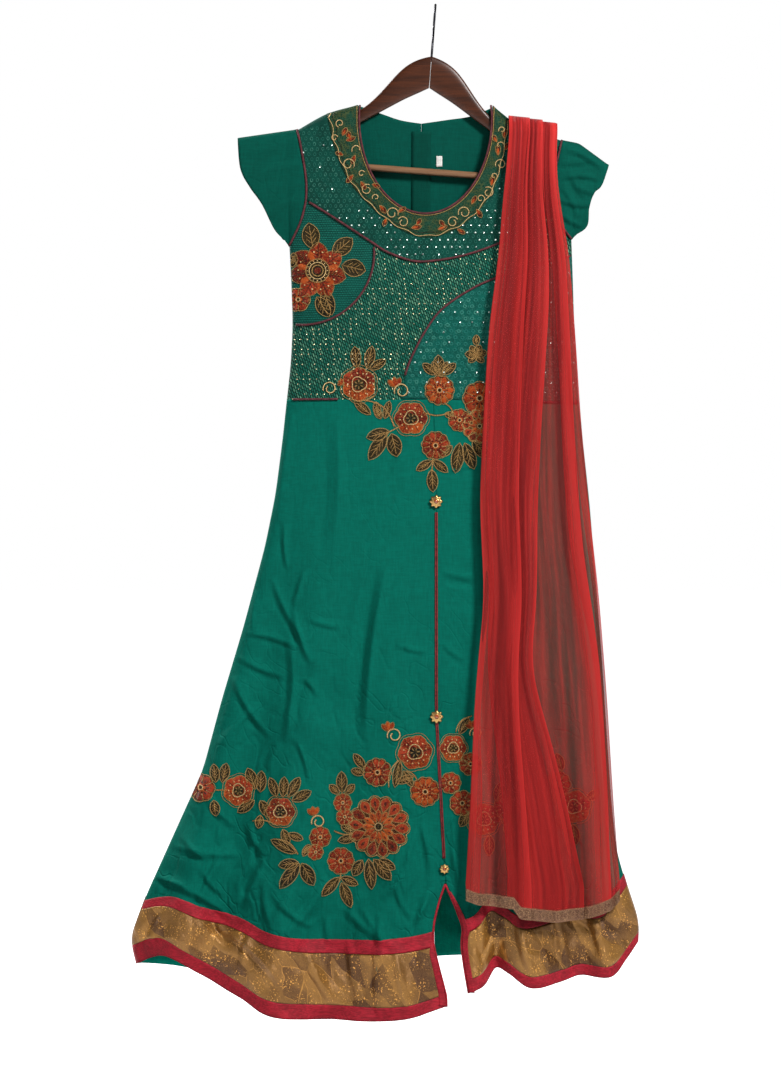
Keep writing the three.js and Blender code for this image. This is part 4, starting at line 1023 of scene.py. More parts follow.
def satin(name, color):
    """Satin bias strip: fine ribs along its length, a little worn."""
    finish = Finish(name)
    tone = finish.place.noise(5, 3.0)
    tinted = tone.ramp(0.3, 0.7).mixed(shade(color, 0.5), color)
    ribs = waves(finish.lay.y, 0.9)
    return finish.surface(tinted, 0.55, height=ribs * 0.08 + tone * 0.4, specular_ior_level=0.2)


def metal(name, color, rough, grain=0.0):
    """Polished metal, duller and darker where it is worn."""
    finish = Finish(name)
    worn = finish.place.noise(3.0, 3.0)
    tinted = worn.ramp(0.3, 0.7).mixed(shade(color, 0.75), color)
    relief = worn * grain if grain else None
    return finish.surface(tinted, worn * 0.2 + (rough - 0.1), 1.0, height=relief)


def wooden(name, light, dark, gloss):
    """Lacquered wood: long grain along x with a fine pore noise."""
    finish = Finish(name)
    place = finish.place
    bent = place.stretched((0.05, 1.0, 1.0)).noise(7, 3.0, 0.6)
    pores = place.stretched((0.04, 1.0, 1.0)).noise(0.9, 2.0)
    tone = (bent * 0.8 + pores * 0.3).ramp(0.4, 0.75)
    return finish.surface(
        tone.mixed(dark, light), gloss, height=pores * 0.05, specular_ior_level=0.25,
        coat_weight=0.06, coat_roughness=0.3,
    )


def sheer(name, color, edge):
    """Crinkled chiffon: see-through where single, denser over the shoulder and at its folded
    edges, whose share is lay's third value; fine lengthwise crinkles."""
    finish = Finish(name)
    lay = finish.lay
    across, along, fold = lay.x, lay.y, lay.z
    flat = finish.joined(across, along * 0.03)
    crinkle = flat.noise(8.0, 3.0, 0.6)
    streak = finish.joined(across, along * 0.012).noise(22.0, 2.0, 0.5)
    grain = finish.joined(across, along).noise(1.3, 2.0)
    laid = finish.place.z.ramp(-300, -205, 0.0, 0.3)
    dense = crinkle.ramp(0.35, 0.7, 0.46, 0.56) + fold * 0.3 + grain * 0.04 + laid
    # Painted light and shade: a lighter red on the ridges of the crinkles and streaks, and the dark
    # red in their hollows; folded edges lean towards the full red.
    tinted = (crinkle * 0.5 + streak * 0.5 + fold * 0.2).ramp(0.36, 0.62).mixed(edge, color)
    relief = crinkle * 0.9 + streak * 2.0 + grain * 0.04
    return finish.surface(
        tinted, 0.7, height=relief, alpha=dense.clipped(), sheen_weight=0.08,
        specular_ior_level=0.15,
    )


def lace(name, light, dark):
    """Glittering net: close metal thread between two edge bands, from 0 to 1 along lay's third
    value, with a row of faint rings."""
    finish = Finish(name)
    across, along = finish.lay.x, finish.lay.z
    mid = along - 0.5
    cell = (across * (1 / 9.0)).fract() - 0.5
    ring = ((cell * cell + mid * mid * 0.9).root() - 0.28).abs().ramp(0.05, 0.12, 1.0, 0.0)
    edge = (mid.abs() - 0.43).abs().ramp(0.05, 0.09, 1.0, 0.0)
    flat = finish.joined(across, along * 17)
    glint = flat.noise(1.3, 2.0).ramp(0.5, 0.68)
    worn = flat.noise(12, 3.0)
    cover = ring.most(edge)
    tinted = (glint * 0.9 + cover * 0.12 + worn * 0.5 - 0.16).clipped().mixed(dark, light)
    alpha = (cover * 0.2 + glint * 0.2 + 0.78).clipped()
    return finish.surface(tinted, 0.42, 0.4, height=cover * 0.3 + glint * 0.5, alpha=alpha)


# ---- sizes and colours


def colour(name, description, *rgb):
    return FloatVectorProperty(
        name=name, description=description, default=linear(*rgb), subtype="COLOR", min=0, max=1
    )


def length(name, description, default):
    """A length in millimetres."""
    return FloatProperty(name=name, description=f"{description}, in mm", default=default, min=0)


def share(name, description, default):
    return FloatProperty(
        name=name, description=description, default=default, min=0, max=2, subtype="FACTOR"
    )


def metres(name, description, default):
    return FloatProperty(name=name, description=description, default=default, unit="LENGTH")


def watts(name, description, default):
    return FloatProperty(name=name, description=description, default=default, unit="POWER")


class KurtaClothSizes(bpy.types.PropertyGroup):
    """The kurta's cloth, bands and pipings."""

    green: colour("Green", "Cotton of the body", 0, 106, 90)
    sleeve: colour("Sleeve", "Plain cotton of the sleeves", 0, 80, 67)
    crimson: colour("Crimson", "Silk bands of the hem", 196, 36, 54)
    # The brocade is painted between these two: its lit gold, and the painted shade of its hollows.
    gold: colour("Gold", "Brocade band of the hem", 158, 112, 50)
    gold_shadow: colour("Gold's shadow", "Hollows of the brocade", 78, 46, 18)
    maroon: colour("Piping", "Piping on the seams", 106, 52, 58)
    brick: colour("Front piping", "Twin piping of the centre front", 150, 52, 56)
    wall: length("Wall", "Thickness of the cloth", 1.2)
    step: length("Step", "Spacing of the mesh on the front", 3.2)
    crease_share: share("Creases", "Strength of the short creases", 1.6)


class KurtaDupattaSizes(bpy.types.PropertyGroup):
    """The dupatta."""

    red: colour("Red", "Chiffon", 200, 42, 40)
    # The dark red is the chiffon's painted shade in the hollows of its crinkles.
    edge: colour("Dark red", "Hollows of the chiffon", 132, 22, 24)
    clear: length("Clear", "Gap between the kurta and the nearest pleat", 7.0)
    crinkle: length("Crinkle", "Height of the crinkles", 0.8)
    lace: length("Lace", "Width of the lace", 18.0)


class KurtaHangerSizes(bpy.types.PropertyGroup):
    """The hanger."""

    wood: colour("Wood", "Lacquered wood", 80, 38, 16)
    bar: colour("Bar", "Pale wood of the crossbar", 138, 100, 70)


class KurtaStageSizes(bpy.types.PropertyGroup):
    """The floor, the light and the camera."""

    distance: metres("Distance", "Camera to cloth", 6.0)
    tall: metres("Height of view", "Height of the frame at the cloth", 1.62)
    centre_x: metres("Across", "Middle of the frame", -0.06765)
    centre_z: metres("Up", "Middle of the frame", -0.80475)
    key: watts("Key light", "Power of the key", 156)
    fill: watts("Fill", "Power of the fill", 20)
    rear: watts("Rear key light", "Power of the key behind", 135)
    room: share("Room", "Light from all round", 0.2)
    paper: share("Paper", "Glow of the lit floor", 0.9)

# ---- kurta


def panel_faces(panel, columns, rows, side, drawn, out=0.0, raised=0.0):
    """A panel's outer face as a grid of faces on the cloth, its edges drawn in by a share of a
    face. raised gives how far each row is lifted by the band's rise."""
    i, j = np.array(columns), np.array(rows)
    for places in (i, j):
        places[[0, -1]] += drawn * np.diff(places)[[0, -1]] * [1, -1]
    flat = panel(i, j)
    flat[..., 1] += band_rise(flat[..., 0]) * np.asarray(raised)[..., None]
    points = on_cloth(side, flat[..., 0], flat[..., 1], out)
    return Faces().grid(points, turned=side > 0)


def columns_of(panel, step):
    """Places across a panel: each step of its top, about 45 mm wide, is cut by the step in mm."""
    return finely([round(45 / step)] * panel.top.steps)


BODICE = {
    "yoke": (yoke, [5] * 20, [4, 8, 8], (430, 270), "yoke_embroidery", oval_pattern,
             (0, 70, 58), (12, 92, 78), (86, 156, 136)),
    "bust_panel_left": (bust, [14] * 3, [9, 9, 14, 14], (170, 230), "bust_embroidery",
                        grid_pattern, (0, 74, 62), (0, 98, 84), (10, 112, 96)),
    "bodice_panel_centre": (centre, [6] * 7 + [7] * 9, [9] * 4, (440, 310), "centre_embroidery",
                            drop_pattern, (0, 54, 42), (8, 108, 88), (110, 172, 138)),
    "bodice_panel_right": (flank, [12] * 5, [13] * 4, (330, 260), "side_embroidery",
                           ring_pattern, (0, 90, 78), (14, 108, 96), (72, 150, 132)),
}


class KurtaBodice(bpy.types.Operator):
    """Makes the front of the bodice: yoke, bust panel, centre and right panels"""

    bl_idname = "kurta.bodice"
    bl_label = "Bodice"

    def execute(self, context):
        wall = context.scene.kurta_cloth.wall
        for node, (panel, across, down, flat, slot, pattern, *colors) in BODICE.items():
            faces = panel_faces(panel, finely(across), finely(down), -1, 0.02)
            finish = embroidered(slot, pattern, *(linear(*color) for color in colors))
            obj = faces.build(f"{node}_cloth", [finish], thick=wall)
            cloth_piece(obj, slot, flat, node)
        return {"FINISHED"}


# Each panel of the skirt and back, the heights of its rows, its side, the flat size it is cut
# from, and how much wider its mesh is spaced than the left front's.
SKIRTS = {
    "skirt_front_left": (skirt_left, SKIRT_LEFT, -1, (580, 980), 1.0),
    "skirt_front_right": (skirt_right, SKIRT_RIGHT, -1, (350, 960), 1.25),
    "back_left": (back_left, BACK_LEFT, 1, (560, 1360), 1.7),
    "back_right": (back_right, BACK_RIGHT, 1, (400, 1360), 1.7),
}
HEM_ROWS = 3

# How far the gathered hem bands of the left front ride up.
BAND_RISE = table("x rise", [
    (-470, 0), (-430, -6), (-402, -13), (-360, -6), (-335, 0), (-319, 6), (-275, 13), (-239, 13),
    (-192, 8), (-137, 8), (-101, 9), (-64, 8), (-10, 2), (20, 0),
])
band_rise = reading(BAND_RISE, "x", "rise", 24)


class KurtaSkirt(bpy.types.Operator):
    """Makes the front skirt's two panels and the two halves of the back"""

    bl_idname = "kurta.skirt"
    bl_label = "Skirt and back"

    def execute(self, context):
        cloth = context.scene.kurta_cloth
        outside = cotton("green_cotton", cloth.green, 1.1)
        # Painted light and shade on the inner face of the back: five times as bright near the hem,
        # where it shows through the slit, and half as bright up towards the neck, where it lies in
        # shade.
        painted_light_and_shade = (-1150, 5.0), (-700, 1.0), (-420, 0.5)
        inside_out = cotton("green_inside", cloth.green, 0.6, painted_light_and_shade)
        for node, (panel, rows, side, flat, coarser) in SKIRTS.items():
            step = cloth.step * coarser
            down = finely(cuts(rows["seam"], step))
            faces = panel_faces(panel, columns_of(panel, step), down, side, 0.03)
            both = [outside, inside_out] if side > 0 else [outside]
            obj = faces.build(f"{node}_cloth", both, thick=cloth.wall, inner_offset=len(both) - 1)
            cloth_piece(obj, "green_cotton", flat, node)
        return {"FINISHED"}


class KurtaBands(bpy.types.Operator):
    """Makes the neck band and the hem's red and gold bands"""

    bl_idname = "kurta.bands"
    bl_label = "Bands"

    def execute(self, context):
        cloth = context.scene.kurta_cloth
        faces = panel_faces(yoke, finely([8] * 20), finely([8]), -1, 0.1, 1.0)
        stitched = embroidered(
            "neck_band", moss_pattern, linear(2, 60, 46), linear(66, 80, 42), linear(26, 78, 56))
        obj = faces.build("neck_band_cloth", [stitched], thick=0.8)
        cloth_piece(obj, "neck_band", (240, 190), "neck_band")

        red = raw_silk("red_band", cloth.crimson)
        gold = brocade("gold_band", cloth.gold, cloth.gold_shadow)
        # Each band's finish, slot and height, and the share of the rise at its top and foot.
        kinds = {
            "hem_red_upper": (red, "red_band", 26, (1, 1)),
            "hem_gold": (gold, "gold_band", 76, (1, 0)),
            "hem_red_lower": (red, "red_band", 23, (0, 0)),
        }
        for part, (kind, (finish, slot, high, ends)) in enumerate(kinds.items()):
            for node, (panel, rows, side, (wide, _), coarser) in SKIRTS.items():
                step = cloth.step * coarser
                start = len(rows["seam"]) - 1 - HEM_ROWS + part
                down = finely(cuts(rows["seam"][start : start + 2], step * 0.8), start)
                lift = np.linspace(*ends, len(down)) * (node == "skirt_front_left")
                faces = panel_faces(panel, columns_of(panel, step), down, side, 0.08, 1.6, lift)
                name = f"{kind}_{node.removeprefix('skirt_')}"
                obj = faces.build(f"{name}_cloth", [finish], thick=0.8)
                cloth_piece(obj, slot, (wide, high), name)
        return {"FINISHED"}


SLEEVES = {
    "sleeve_left": (left_armhole, ARM_UPPER_LEFT + ARM_LOWER_LEFT[1:], CUFF_LEFT),
    "sleeve_right": (right_armhole, ARM_UPPER_RIGHT + ARM_LOWER_RIGHT[1:], CUFF_RIGHT),
}
CUFF_SHARES = [0, 0.05, 0.22, 0.42, 0.62, 0.82, 1]
CUFF_CUTS = [3, 8, 10, 10, 10, 8]


class KurtaSleeves(bpy.types.Operator):
    """Makes the two cap sleeves"""

    bl_idname = "kurta.sleeves"
    bl_label = "Sleeves"

    def execute(self, context):
        cloth = context.scene.kurta_cloth
        finish = cotton("sleeve_cotton", cloth.sleeve, 1.2)
        for node, (armhole_at, heights, cuff) in SLEEVES.items():
            armhole, cuff_line = at_heights(armhole_at, heights), at_shares(cuff, CUFF_SHARES)
            along = finely(CUFF_CUTS)
            inner, outer = armhole(along)[:, None], cuff_line(along)[:, None]
            out = np.linspace(0.012, 1, 24)[None, :, None]
            flat = inner + (outer - inner) * out
            flat[0, :, 1] = top_line(flat[0, :, 0])
            walls = []
            for side in (-1, 1):
                points = on_cloth(side, flat[..., 0], flat[..., 1])
                points[..., 1] = side * np.maximum(side * points[..., 1], cloth.wall + 0.4)
                walls.append(points)
            walls[1][0, :, 1] = walls[0][0, :, 1]
            ring = np.concatenate([walls[0][::-1], walls[1][1:]])
            faces = Faces().grid(ring, turned=node == "sleeve_left")
            obj = faces.build(f"{node}_cloth", [finish], thick=cloth.wall)
            cloth_piece(obj, "sleeve_cotton", (400, 130), node)
        return {"FINISHED"}


PIPING = 1.6
TWIN_PIPING = -758, -1286

# Width of the facing that shows along each edge of the slit.
FACING_LEFT = table("z wide", [(-1404, 2), (-1420, 8), (-1460, 9.5), (-1501, 10.5)])
FACING_RIGHT = table("z wide", [(-1330, 2.5), (-1352, 6), (-1386, 9.5), (-1420, 9), (-1480, 8.5)])


def seam_rod(faces, border, radius=PIPING, shift=0.0, out=None, cut=(0.01, 0.99), finish=0):
    """A piping along a seam of the front: a rod whose middle lies out from the cloth."""
    flat = border(np.linspace(*cut, int(border.steps * 8)) * border.steps)
    lift = radius + 0.2 if out is None else out
    faces.rod(on_cloth(-1, flat[:, 0] + shift, flat[:, 1], lift), radius, 10, finish)


class KurtaPipings(bpy.types.Operator):
    """Makes the pipings on the seams and the bindings of the slit"""

    bl_idname = "kurta.pipings"
    bl_label = "Pipings"

    def execute(self, context):
        cloth = context.scene.kurta_cloth
        faces = Faces()
        seam_rod(faces, neck_line(PIPING + 0.5), out=-cloth.wall / 2, cut=(0, 1))
        for armhole_at, heights, _ in SLEEVES.values():
            seam_rod(faces, at_heights(armhole_at, [heights[0] - 1, *heights[1:]]))
        seam_rod(faces, even(YOKE_SEAM_LEFT, 3) + even(YOKE_SEAM, 9))
        seam_rod(faces, cup_arc, cut=(0.03, 0.97))
        seam_rod(faces, side_curve, cut=(0.01, 0.9))
        seam_rod(faces, straight(WAIST_LEFT, WAIST_CURVE, 7), cut=(0.06, 0.45))
        seam_rod(faces, straight(WAIST_CENTRE, WAIST_RIGHT, 9), cut=(0.55, 0.99))
        for shift in (-1.2, 1.2):
            front = at_heights(centre_front, np.linspace(*TWIN_PIPING, 20))
            seam_rod(faces, front, radius=0.95, shift=shift, finish=1)
        silks = [satin("piping", cloth.maroon), satin("front_piping", cloth.brick)]
        obj = faces.build("pipings", silks, weld=True)
        seams = ["neck", "armhole_left", "armhole_right", "yoke", "bust_left", "side_curve"]
        seams += ["waist_left", "waist_right", "front_left", "front_right"]
        piece(obj, "piping", *(f"piping_{seam}" for seam in seams))

        silk = raw_silk("red_facing", cloth.crimson)
        faces = Faces()
        for slit, rows, shift in ((left_slit, SKIRT_LEFT, 1.2), (right_slit, SKIRT_RIGHT, -1.2)):
            line = at_heights(slit, np.linspace(SLIT_TOP - 3, rows["seam"][-1], 12))
            seam_rod(faces, line, radius=1.7, shift=shift, out=-0.2, cut=(0, 1))
        for name, slit, side, rows in (("left", left_slit, -1, FACING_LEFT),
                                       ("right", right_slit, 1, FACING_RIGHT)):
            wide = reading(rows, "z", "wide", 10)
            top, foot = rows["z"][0], rows["z"][-1]
            z = np.linspace(top, foot, 50)[:, None]
            x = slit(z) + side * wide(z) * np.linspace(0, 1, 5)[::side]
            strip = Faces().grid(on_cloth(-1, x, z, 1.9))
            obj = strip.build(f"slit_facing_{name}", [silk], thick=0.5)
            cloth_piece(obj, "red_binding", (10.5, float(top - foot) + 4))
        obj = faces.build("slit_bindings", [satin("red_binding", cloth.crimson)], weld=True)
        piece(obj, "red_binding", "piping_slit_left", "piping_slit_right")
        return {"FINISHED"}


class KurtaButtons(bpy.types.Operator):
    """Makes the gilt flower buttons with an orange stone"""

    bl_idname = "kurta.buttons"
    bl_label = "Buttons"

    def execute(self, context):
        faces = Faces()
        angle = full_turn(64)
        rim = table("across up", [
            (0.02, 4.0), (0.3, 3.9), (0.45, 3.0), (0.6, 2.9), (0.8, 2.6), (0.95, 1.8), (1.0, 1.0),
            (0.95, 0.3), (0.02, 0),
        ])
        stone = table("across up", [(0.01, 5.6), (0.12, 5.5), (0.24, 5), (0.34, 4.2), (0.38, 3.4)])
        for z, radius in zip(*BUTTONS.values()):
            x = centre_front(z)
            y = depth(x, z, -1) - 3.2
            for kind, (profile, scallop) in enumerate(((rim, 0.12), (stone, 0))):
                across, up = profile["across"][:, None], profile["up"][:, None]
                petal = 1 + scallop * np.cos(8 * angle) * ramp(across, 0.4, 0.9)
                reach = across * radius * petal
                ring = xyz(x + reach * np.cos(angle), y - up, z + reach * np.sin(angle))
                faces.grid(ring, finish=kind, ring=True)
        gilt = metal("gilt_button", (0.42, 0.25, 0.09), 0.32, 0.4)
        amber = Finish("stone")
        tone = amber.place.noise(4, 2.0).mixed((0.3, 0.04, 0.01), (0.55, 0.12, 0.02))
        amber.surface(tone, 0.15, coat_weight=0.6)
        obj = faces.build("buttons", [gilt, amber.material], weld=True)
        piece(obj, "gilt_button", "button_1", "button_2", "button_3")
        return {"FINISHED"}


# ---- embroidery

RED, FLAME, MAROON, OLIVE, GOLD, PALE_GOLD = range(6)


class Embroidery(Faces):
    """Stitched shapes drawn on the flat: x across, z up, and -y out from the cloth. All arguments
    may be arrays, one value for each shape."""

    chance = np.random.default_rng(5)

    def leaves(self, x, z, turn, long, wide, kind, full=1.0, height=1.1, lift=0.0):
        """Satin-stitched leaves or petals, from their foot at (x, z): half as wide as wide *
        sin(pi t^full)^0.75 at share t, and domed like the root of 1 - s^2 across."""
        x, z, turn, long, wide, lift = self.stacked(x, z, turn, long, wide, lift)
        t, s = np.linspace(0, 1, 8)[:, None], np.linspace(-1, 1, 5)
        half = wide / 2 * np.abs(np.sin(np.pi * t**full)) ** 0.75 + 0.08
        along, across = long * t, half * s
        flat = rotated(x, z, along, across, turn)
        out = height * np.sqrt(1.001 - s**2) * np.sqrt(np.abs(np.sin(np.pi * t)) + 0.02) + lift
        points = xyz(flat[..., 0], -out + 0.15, flat[..., 1])
        self.tinted(points, along - 0.6 * np.abs(across), kind)

    def tinted(self, points, across, kind, ring=False):
        """Grids whose lay runs across in mm, with a tint by chance for each shape."""
        tint = self.chance.uniform(0, 1, (len(points), 1, 1))
        lay = xyz(across, 0.0, np.broadcast_to(tint, points.shape[:-1]))
        self.grid(points, lay, kind, ring=ring)

    def stacked(self, *values):
        """Each value as a column of its own for every shape."""
        return [value[:, None, None] for value in np.broadcast_arrays(*map(np.atleast_1d, values))]

    def cords(self, paths, radius, kind, lift=0.0):
        """Couched cords along flat paths: an array of shapes x places x 2."""
        paths = np.asarray(paths, float).reshape(-1, *np.shape(paths)[-2:])
        self.rod(xyz(paths[..., 0], -0.6 * radius - lift, paths[..., 1]), radius, 5, kind)

    def edges(self, x, z, turn, long, wide, full=1.0, gap=1.2, radius=0.45):
        """A cord round each leaf, a gap away from it."""
        x, z, turn, long, wide, gap = self.stacked(x, z, turn, long, wide, gap)
        t = np.linspace(0, 1, 9)
        t = np.concatenate([t, t[-2::-1]])
        sign = np.where(np.arange(17) < 8.5, 1, -1)
        half = wide / 2 * np.abs(np.sin(np.pi * t**full)) ** 0.75 + gap
        along = -gap + (long + 2.2 * gap) * t
        half = half * np.minimum(1, 12 * t * (1 - t) + 0.02)
        self.cords(rotated(x, z, along, half * sign, turn), radius, GOLD, 0.3)

    def veins(self, x, z, turn, long, wide, pairs=3, kind=GOLD, radius=0.4, lift=0.9):
        """A midrib and pairs of side veins for each leaf."""
        x, z, turn, long, wide = self.stacked(x, z, turn, long, wide)
        t = np.linspace(0.05, 0.9, 6)
        self.cords(rotated(x, z, long * t, 0 * t, turn), radius, kind, lift)
        t = np.linspace(0, 1, 4)
        for k in range(pairs):
            along = long * (0.2 + 0.5 * k / pairs + 0.22 * t)
            for side in (-1, 1):
                path = rotated(x, z, along, side * 0.32 * wide * t, turn)
                self.cords(path, radius * 0.8, kind, lift * 0.8)

    def rings(self, x, z, radius, thick, kind, waves=1, deep=0.0, turn=0.0, lift=0.3):
        """Closed cords round (x, z) of radius * (1 - deep + deep * |cos(waves * angle / 2)|)."""
        x, z, radius, turn = self.stacked(x, z, radius, turn)
        angle = np.linspace(0, 2 * np.pi, 8 * max(waves, 3) + 1)
        bumps = np.abs(np.cos(waves * (angle - np.radians(turn)) / 2)) if deep else 1
        reach = radius * (1 - deep + deep * bumps)
        self.cords(polar(x, z, reach, angle), thick, kind, lift)

    def discs(self, x, z, radius, kind, height, lift=0.0, sides=14):
        """Low domes of thread: out = height * sqrt(1 - r^2)."""
        x, z, radius, lift = self.stacked(x, z, radius, lift)
        angle = full_turn(sides)
        share = np.array([0.04, 0.4, 0.75, 1.0])[:, None]
        out = height * np.sqrt(1.001 - share**2) - 0.15 + lift
        reach = radius * share
        points = xyz(x + reach * np.cos(angle), -out, z + reach * np.sin(angle))
        self.tinted(points, reach * 1.5, kind, ring=True)

    def curl(self, x, z, radius, start, sweep, thick):
        """A cord that winds inwards: radius * (1 - 0.62 t^1.5) over its sweep of degrees."""
        t = np.linspace(0, 1, 26)
        angle = np.radians(start + sweep * t)
        reach = radius * (1 - 0.62 * t**1.5)
        path = polar(x, z, reach, angle)
        self.cords(path, thick, PALE_GOLD)
        self.cords(path + [1.2 * thick, -0.8 * thick], 0.5 * thick, OLIVE)

    def sequins(self, x, z, radius, lift, kind):
        """Small cupped discs with a hole, each tilted its own way."""
        x, z, lift = self.stacked(x, z, lift)
        angle = full_turn(7)
        share = np.array([0.2, 0.65, 1.0])[:, None]
        lean = self.chance.normal(0, 0.22, (2, len(x), 1, 1))
        right, up = radius * share * np.cos(angle), radius * share * np.sin(angle)
        out = lift + 0.25 * share**2 + lean[0] * right + lean[1] * up
        self.tinted(xyz(x + right, -out, z + up), 0.0, kind, ring=True)

    def beads(self, x, z, reach, count, turn, radius, lift):
        """A round of small gold discs."""
        x, z, _ = around(x, z, reach, count, turn)
        self.sequins(x, z, radius, lift, PALE_GOLD)


def rotated(x, z, along, across, turn):
    """(x, z) moved along and across a way that is turned by degrees from the right."""
    cos, sin = np.cos(np.radians(turn)), np.sin(np.radians(turn))
    return np.stack([x + along * cos - across * sin, z + along * sin + across * cos], -1)


def polar(x, z, reach, angle):
    """Places at a reach and an angle in radians from (x, z)."""
    return np.stack([x + reach * np.cos(angle), z + reach * np.sin(angle)], -1)


def around(x, z, radius, count, turn):
    """count places evenly round (x, z), and the way out at each in degrees."""
    ways = turn + 360 * np.arange(count) / count
    return x + radius * np.cos(np.radians(ways)), z + radius * np.sin(np.radians(ways)), ways


def daisy(work, x, z, radius, petals, turn):
    """Narrow petals over a dark ground round a ringed middle, inside a scalloped cord."""
    # Painted shade: a dark maroon disc under the petals, seen between them.
    work.discs(x, z, radius, MAROON, 0.4)
    wide = 4.6 * radius / petals
    kind = RED if radius < 21 else FLAME
    foot = around(x, z, 0.24 * radius, petals, turn)
    work.leaves(*foot, 0.78 * radius, wide, kind, 1.5, 1.2, 0.3)
    foot = around(x, z, 0.36 * radius, petals, turn)
    work.leaves(*foot, 0.42 * radius, 0.3 * wide, MAROON, 1.3, 0.4, 1.1)
    foot_x, foot_z, ways = around(x, z, 0.5 * radius, petals, turn + 180 / petals)
    t = np.linspace(0, 0.42 * radius, 4)
    path = rotated(foot_x[:, None], foot_z[:, None], t, 0 * t, ways[:, None])
    work.cords(path, 0.5, GOLD, 0.8)
    work.sequins(foot_x, foot_z, 0.8, 1.2, PALE_GOLD)
    foot = around(x, z, 0.1 * radius, petals, turn)
    work.leaves(*foot, 0.24 * radius, 0.4 * wide, FLAME, 1.2, 0.9, 0.9)
    work.rings(x, z, 0.17 * radius, 0.7, PALE_GOLD, lift=1.2)
    work.discs(x, z, 0.11 * radius, OLIVE, 1.0, 0.8)
    work.rings(x, z, 1.07 * radius, 0.6, GOLD, petals, 0.09, turn)


def poppy(work, x, z, radius, petals, turn):
    """Round petals over each other with gold edges, round a dark middle in a gold cup."""
    foot = np.array(around(x, z, 0.12 * radius, petals, turn))
    below = np.sin(np.radians(foot[2])) < -0.2
    long, wide = 0.9 * radius, 0.98 * radius
    for kind, chosen in ((RED, ~below), (FLAME, below)):
        lift = 0.2 + 0.25 * (np.arange(chosen.sum()) % 2)
        work.leaves(*foot[:, chosen], long, wide, kind, 1.25, 1.5, lift)
    work.edges(*foot, 0.88 * radius, wide, 1.25, 0.3, 0.5)
    work.veins(*foot, 0.85 * radius, 0.8 * radius, 2, MAROON, 0.4, 1.5)
    work.beads(x, z, 0.66 * radius, 2 * petals, turn + 8, 1.0, 1.8)
    work.discs(x, z - 0.04 * radius, 0.38 * radius, OLIVE, 1.2, 0.9)
    work.rings(x, z, 0.46 * radius, 0.8, PALE_GOLD, 3, 0.22, turn + 90, lift=1.5)
    spokes = around(x, z, 0.08 * radius, 6, turn)
    work.leaves(*spokes, 0.24 * radius, 1.6, GOLD, 1.0, 0.5, 1.8)
    work.rings(x, z, 1.13 * radius, 0.42, GOLD, petals, 0.09, turn)


def great_flower(work, x, z, radius, petals, turn):
    """Two rounds of petals, each with a dark slit and a gold edge, round a gold-ringed middle."""
    # Painted shade: a dark maroon disc under the petals, seen between them.
    work.discs(x, z, radius, MAROON, 0.4, 0.0, 32)
    foot = around(x, z, 0.5 * radius, petals, turn)
    long, wide = 0.54 * radius, 4.6 * radius / petals
    work.leaves(*foot, long, wide, RED, 1.4, 1.6, 0.2)
    work.edges(*foot, long, wide, 1.4, 0.3, 0.55)
    foot = around(x, z, 0.68 * radius, petals, turn)
    work.leaves(*foot, 0.22 * radius, 0.36 * wide, MAROON, 1.4, 0.7, 1.4)
    work.edges(*foot, 0.22 * radius, 0.36 * wide, 1.4, 0.2, 0.4)
    work.beads(x, z, 0.98 * radius, petals, turn + 180 / petals, 0.9, 1.2)
    count = petals - 2
    foot = around(x, z, 0.16 * radius, count, turn + 9)
    long, wide = 0.42 * radius, 2.5 * radius / count
    work.leaves(*foot, long, wide, FLAME, 1.4, 1.6, 0.9)
    work.edges(*foot, long, wide, 1.4, 0.2, 0.45)
    foot = around(x, z, 0.3 * radius, count, turn + 9)
    work.leaves(*foot, 0.2 * radius, 0.3 * wide, MAROON, 1.3, 0.5, 2.0)
    work.rings(x, z, 0.5 * radius, 0.5, GOLD, count, 0.1, turn + 9, lift=1.2)
    work.rings(x, z, 0.13 * radius, 0.7, PALE_GOLD, lift=1.6)
    work.discs(x, z, 0.09 * radius, OLIVE, 1.0, 1.2)
    work.rings(x, z, 1.08 * radius, 0.6, GOLD, petals, 0.1, turn)


def star_flower(work, x, z, radius, petals, turn):
    """Pointed veined petals round a big dark middle with gold rings."""
    petal = *around(x, z, 0.25 * radius, petals, turn), 0.78 * radius, 0.66 * radius
    work.leaves(*petal, RED, 0.9, 1.8)
    work.edges(*petal, 0.9, 0.6, 0.45)
    work.veins(*petal, 3, MAROON, 0.5, 1.8)
    foot = around(x, z, 0.34 * radius, petals, turn + 180 / petals)
    work.leaves(*foot, 0.4 * radius, 0.3 * radius, FLAME, 1.3, 1.4, 1.0)
    work.beads(x, z, 0.68 * radius, 2 * petals, turn + 12, 1.2, 2.2)
    work.discs(x, z, 0.43 * radius, OLIVE, 1.6, 1.0, 28)
    for share, kind in ((0.42, GOLD), (0.3, PALE_GOLD), (0.2, GOLD)):
        work.rings(x, z, share * radius, 0.8, kind, lift=2.3 - 2 * share)
    work.beads(x, z, 0.36 * radius, 16, 0, 0.9, 2.4)
    work.discs(x, z, 0.14 * radius, RED, 1.2, 2.0)


FLOWER_KINDS = [daisy, poppy, great_flower, star_flower]

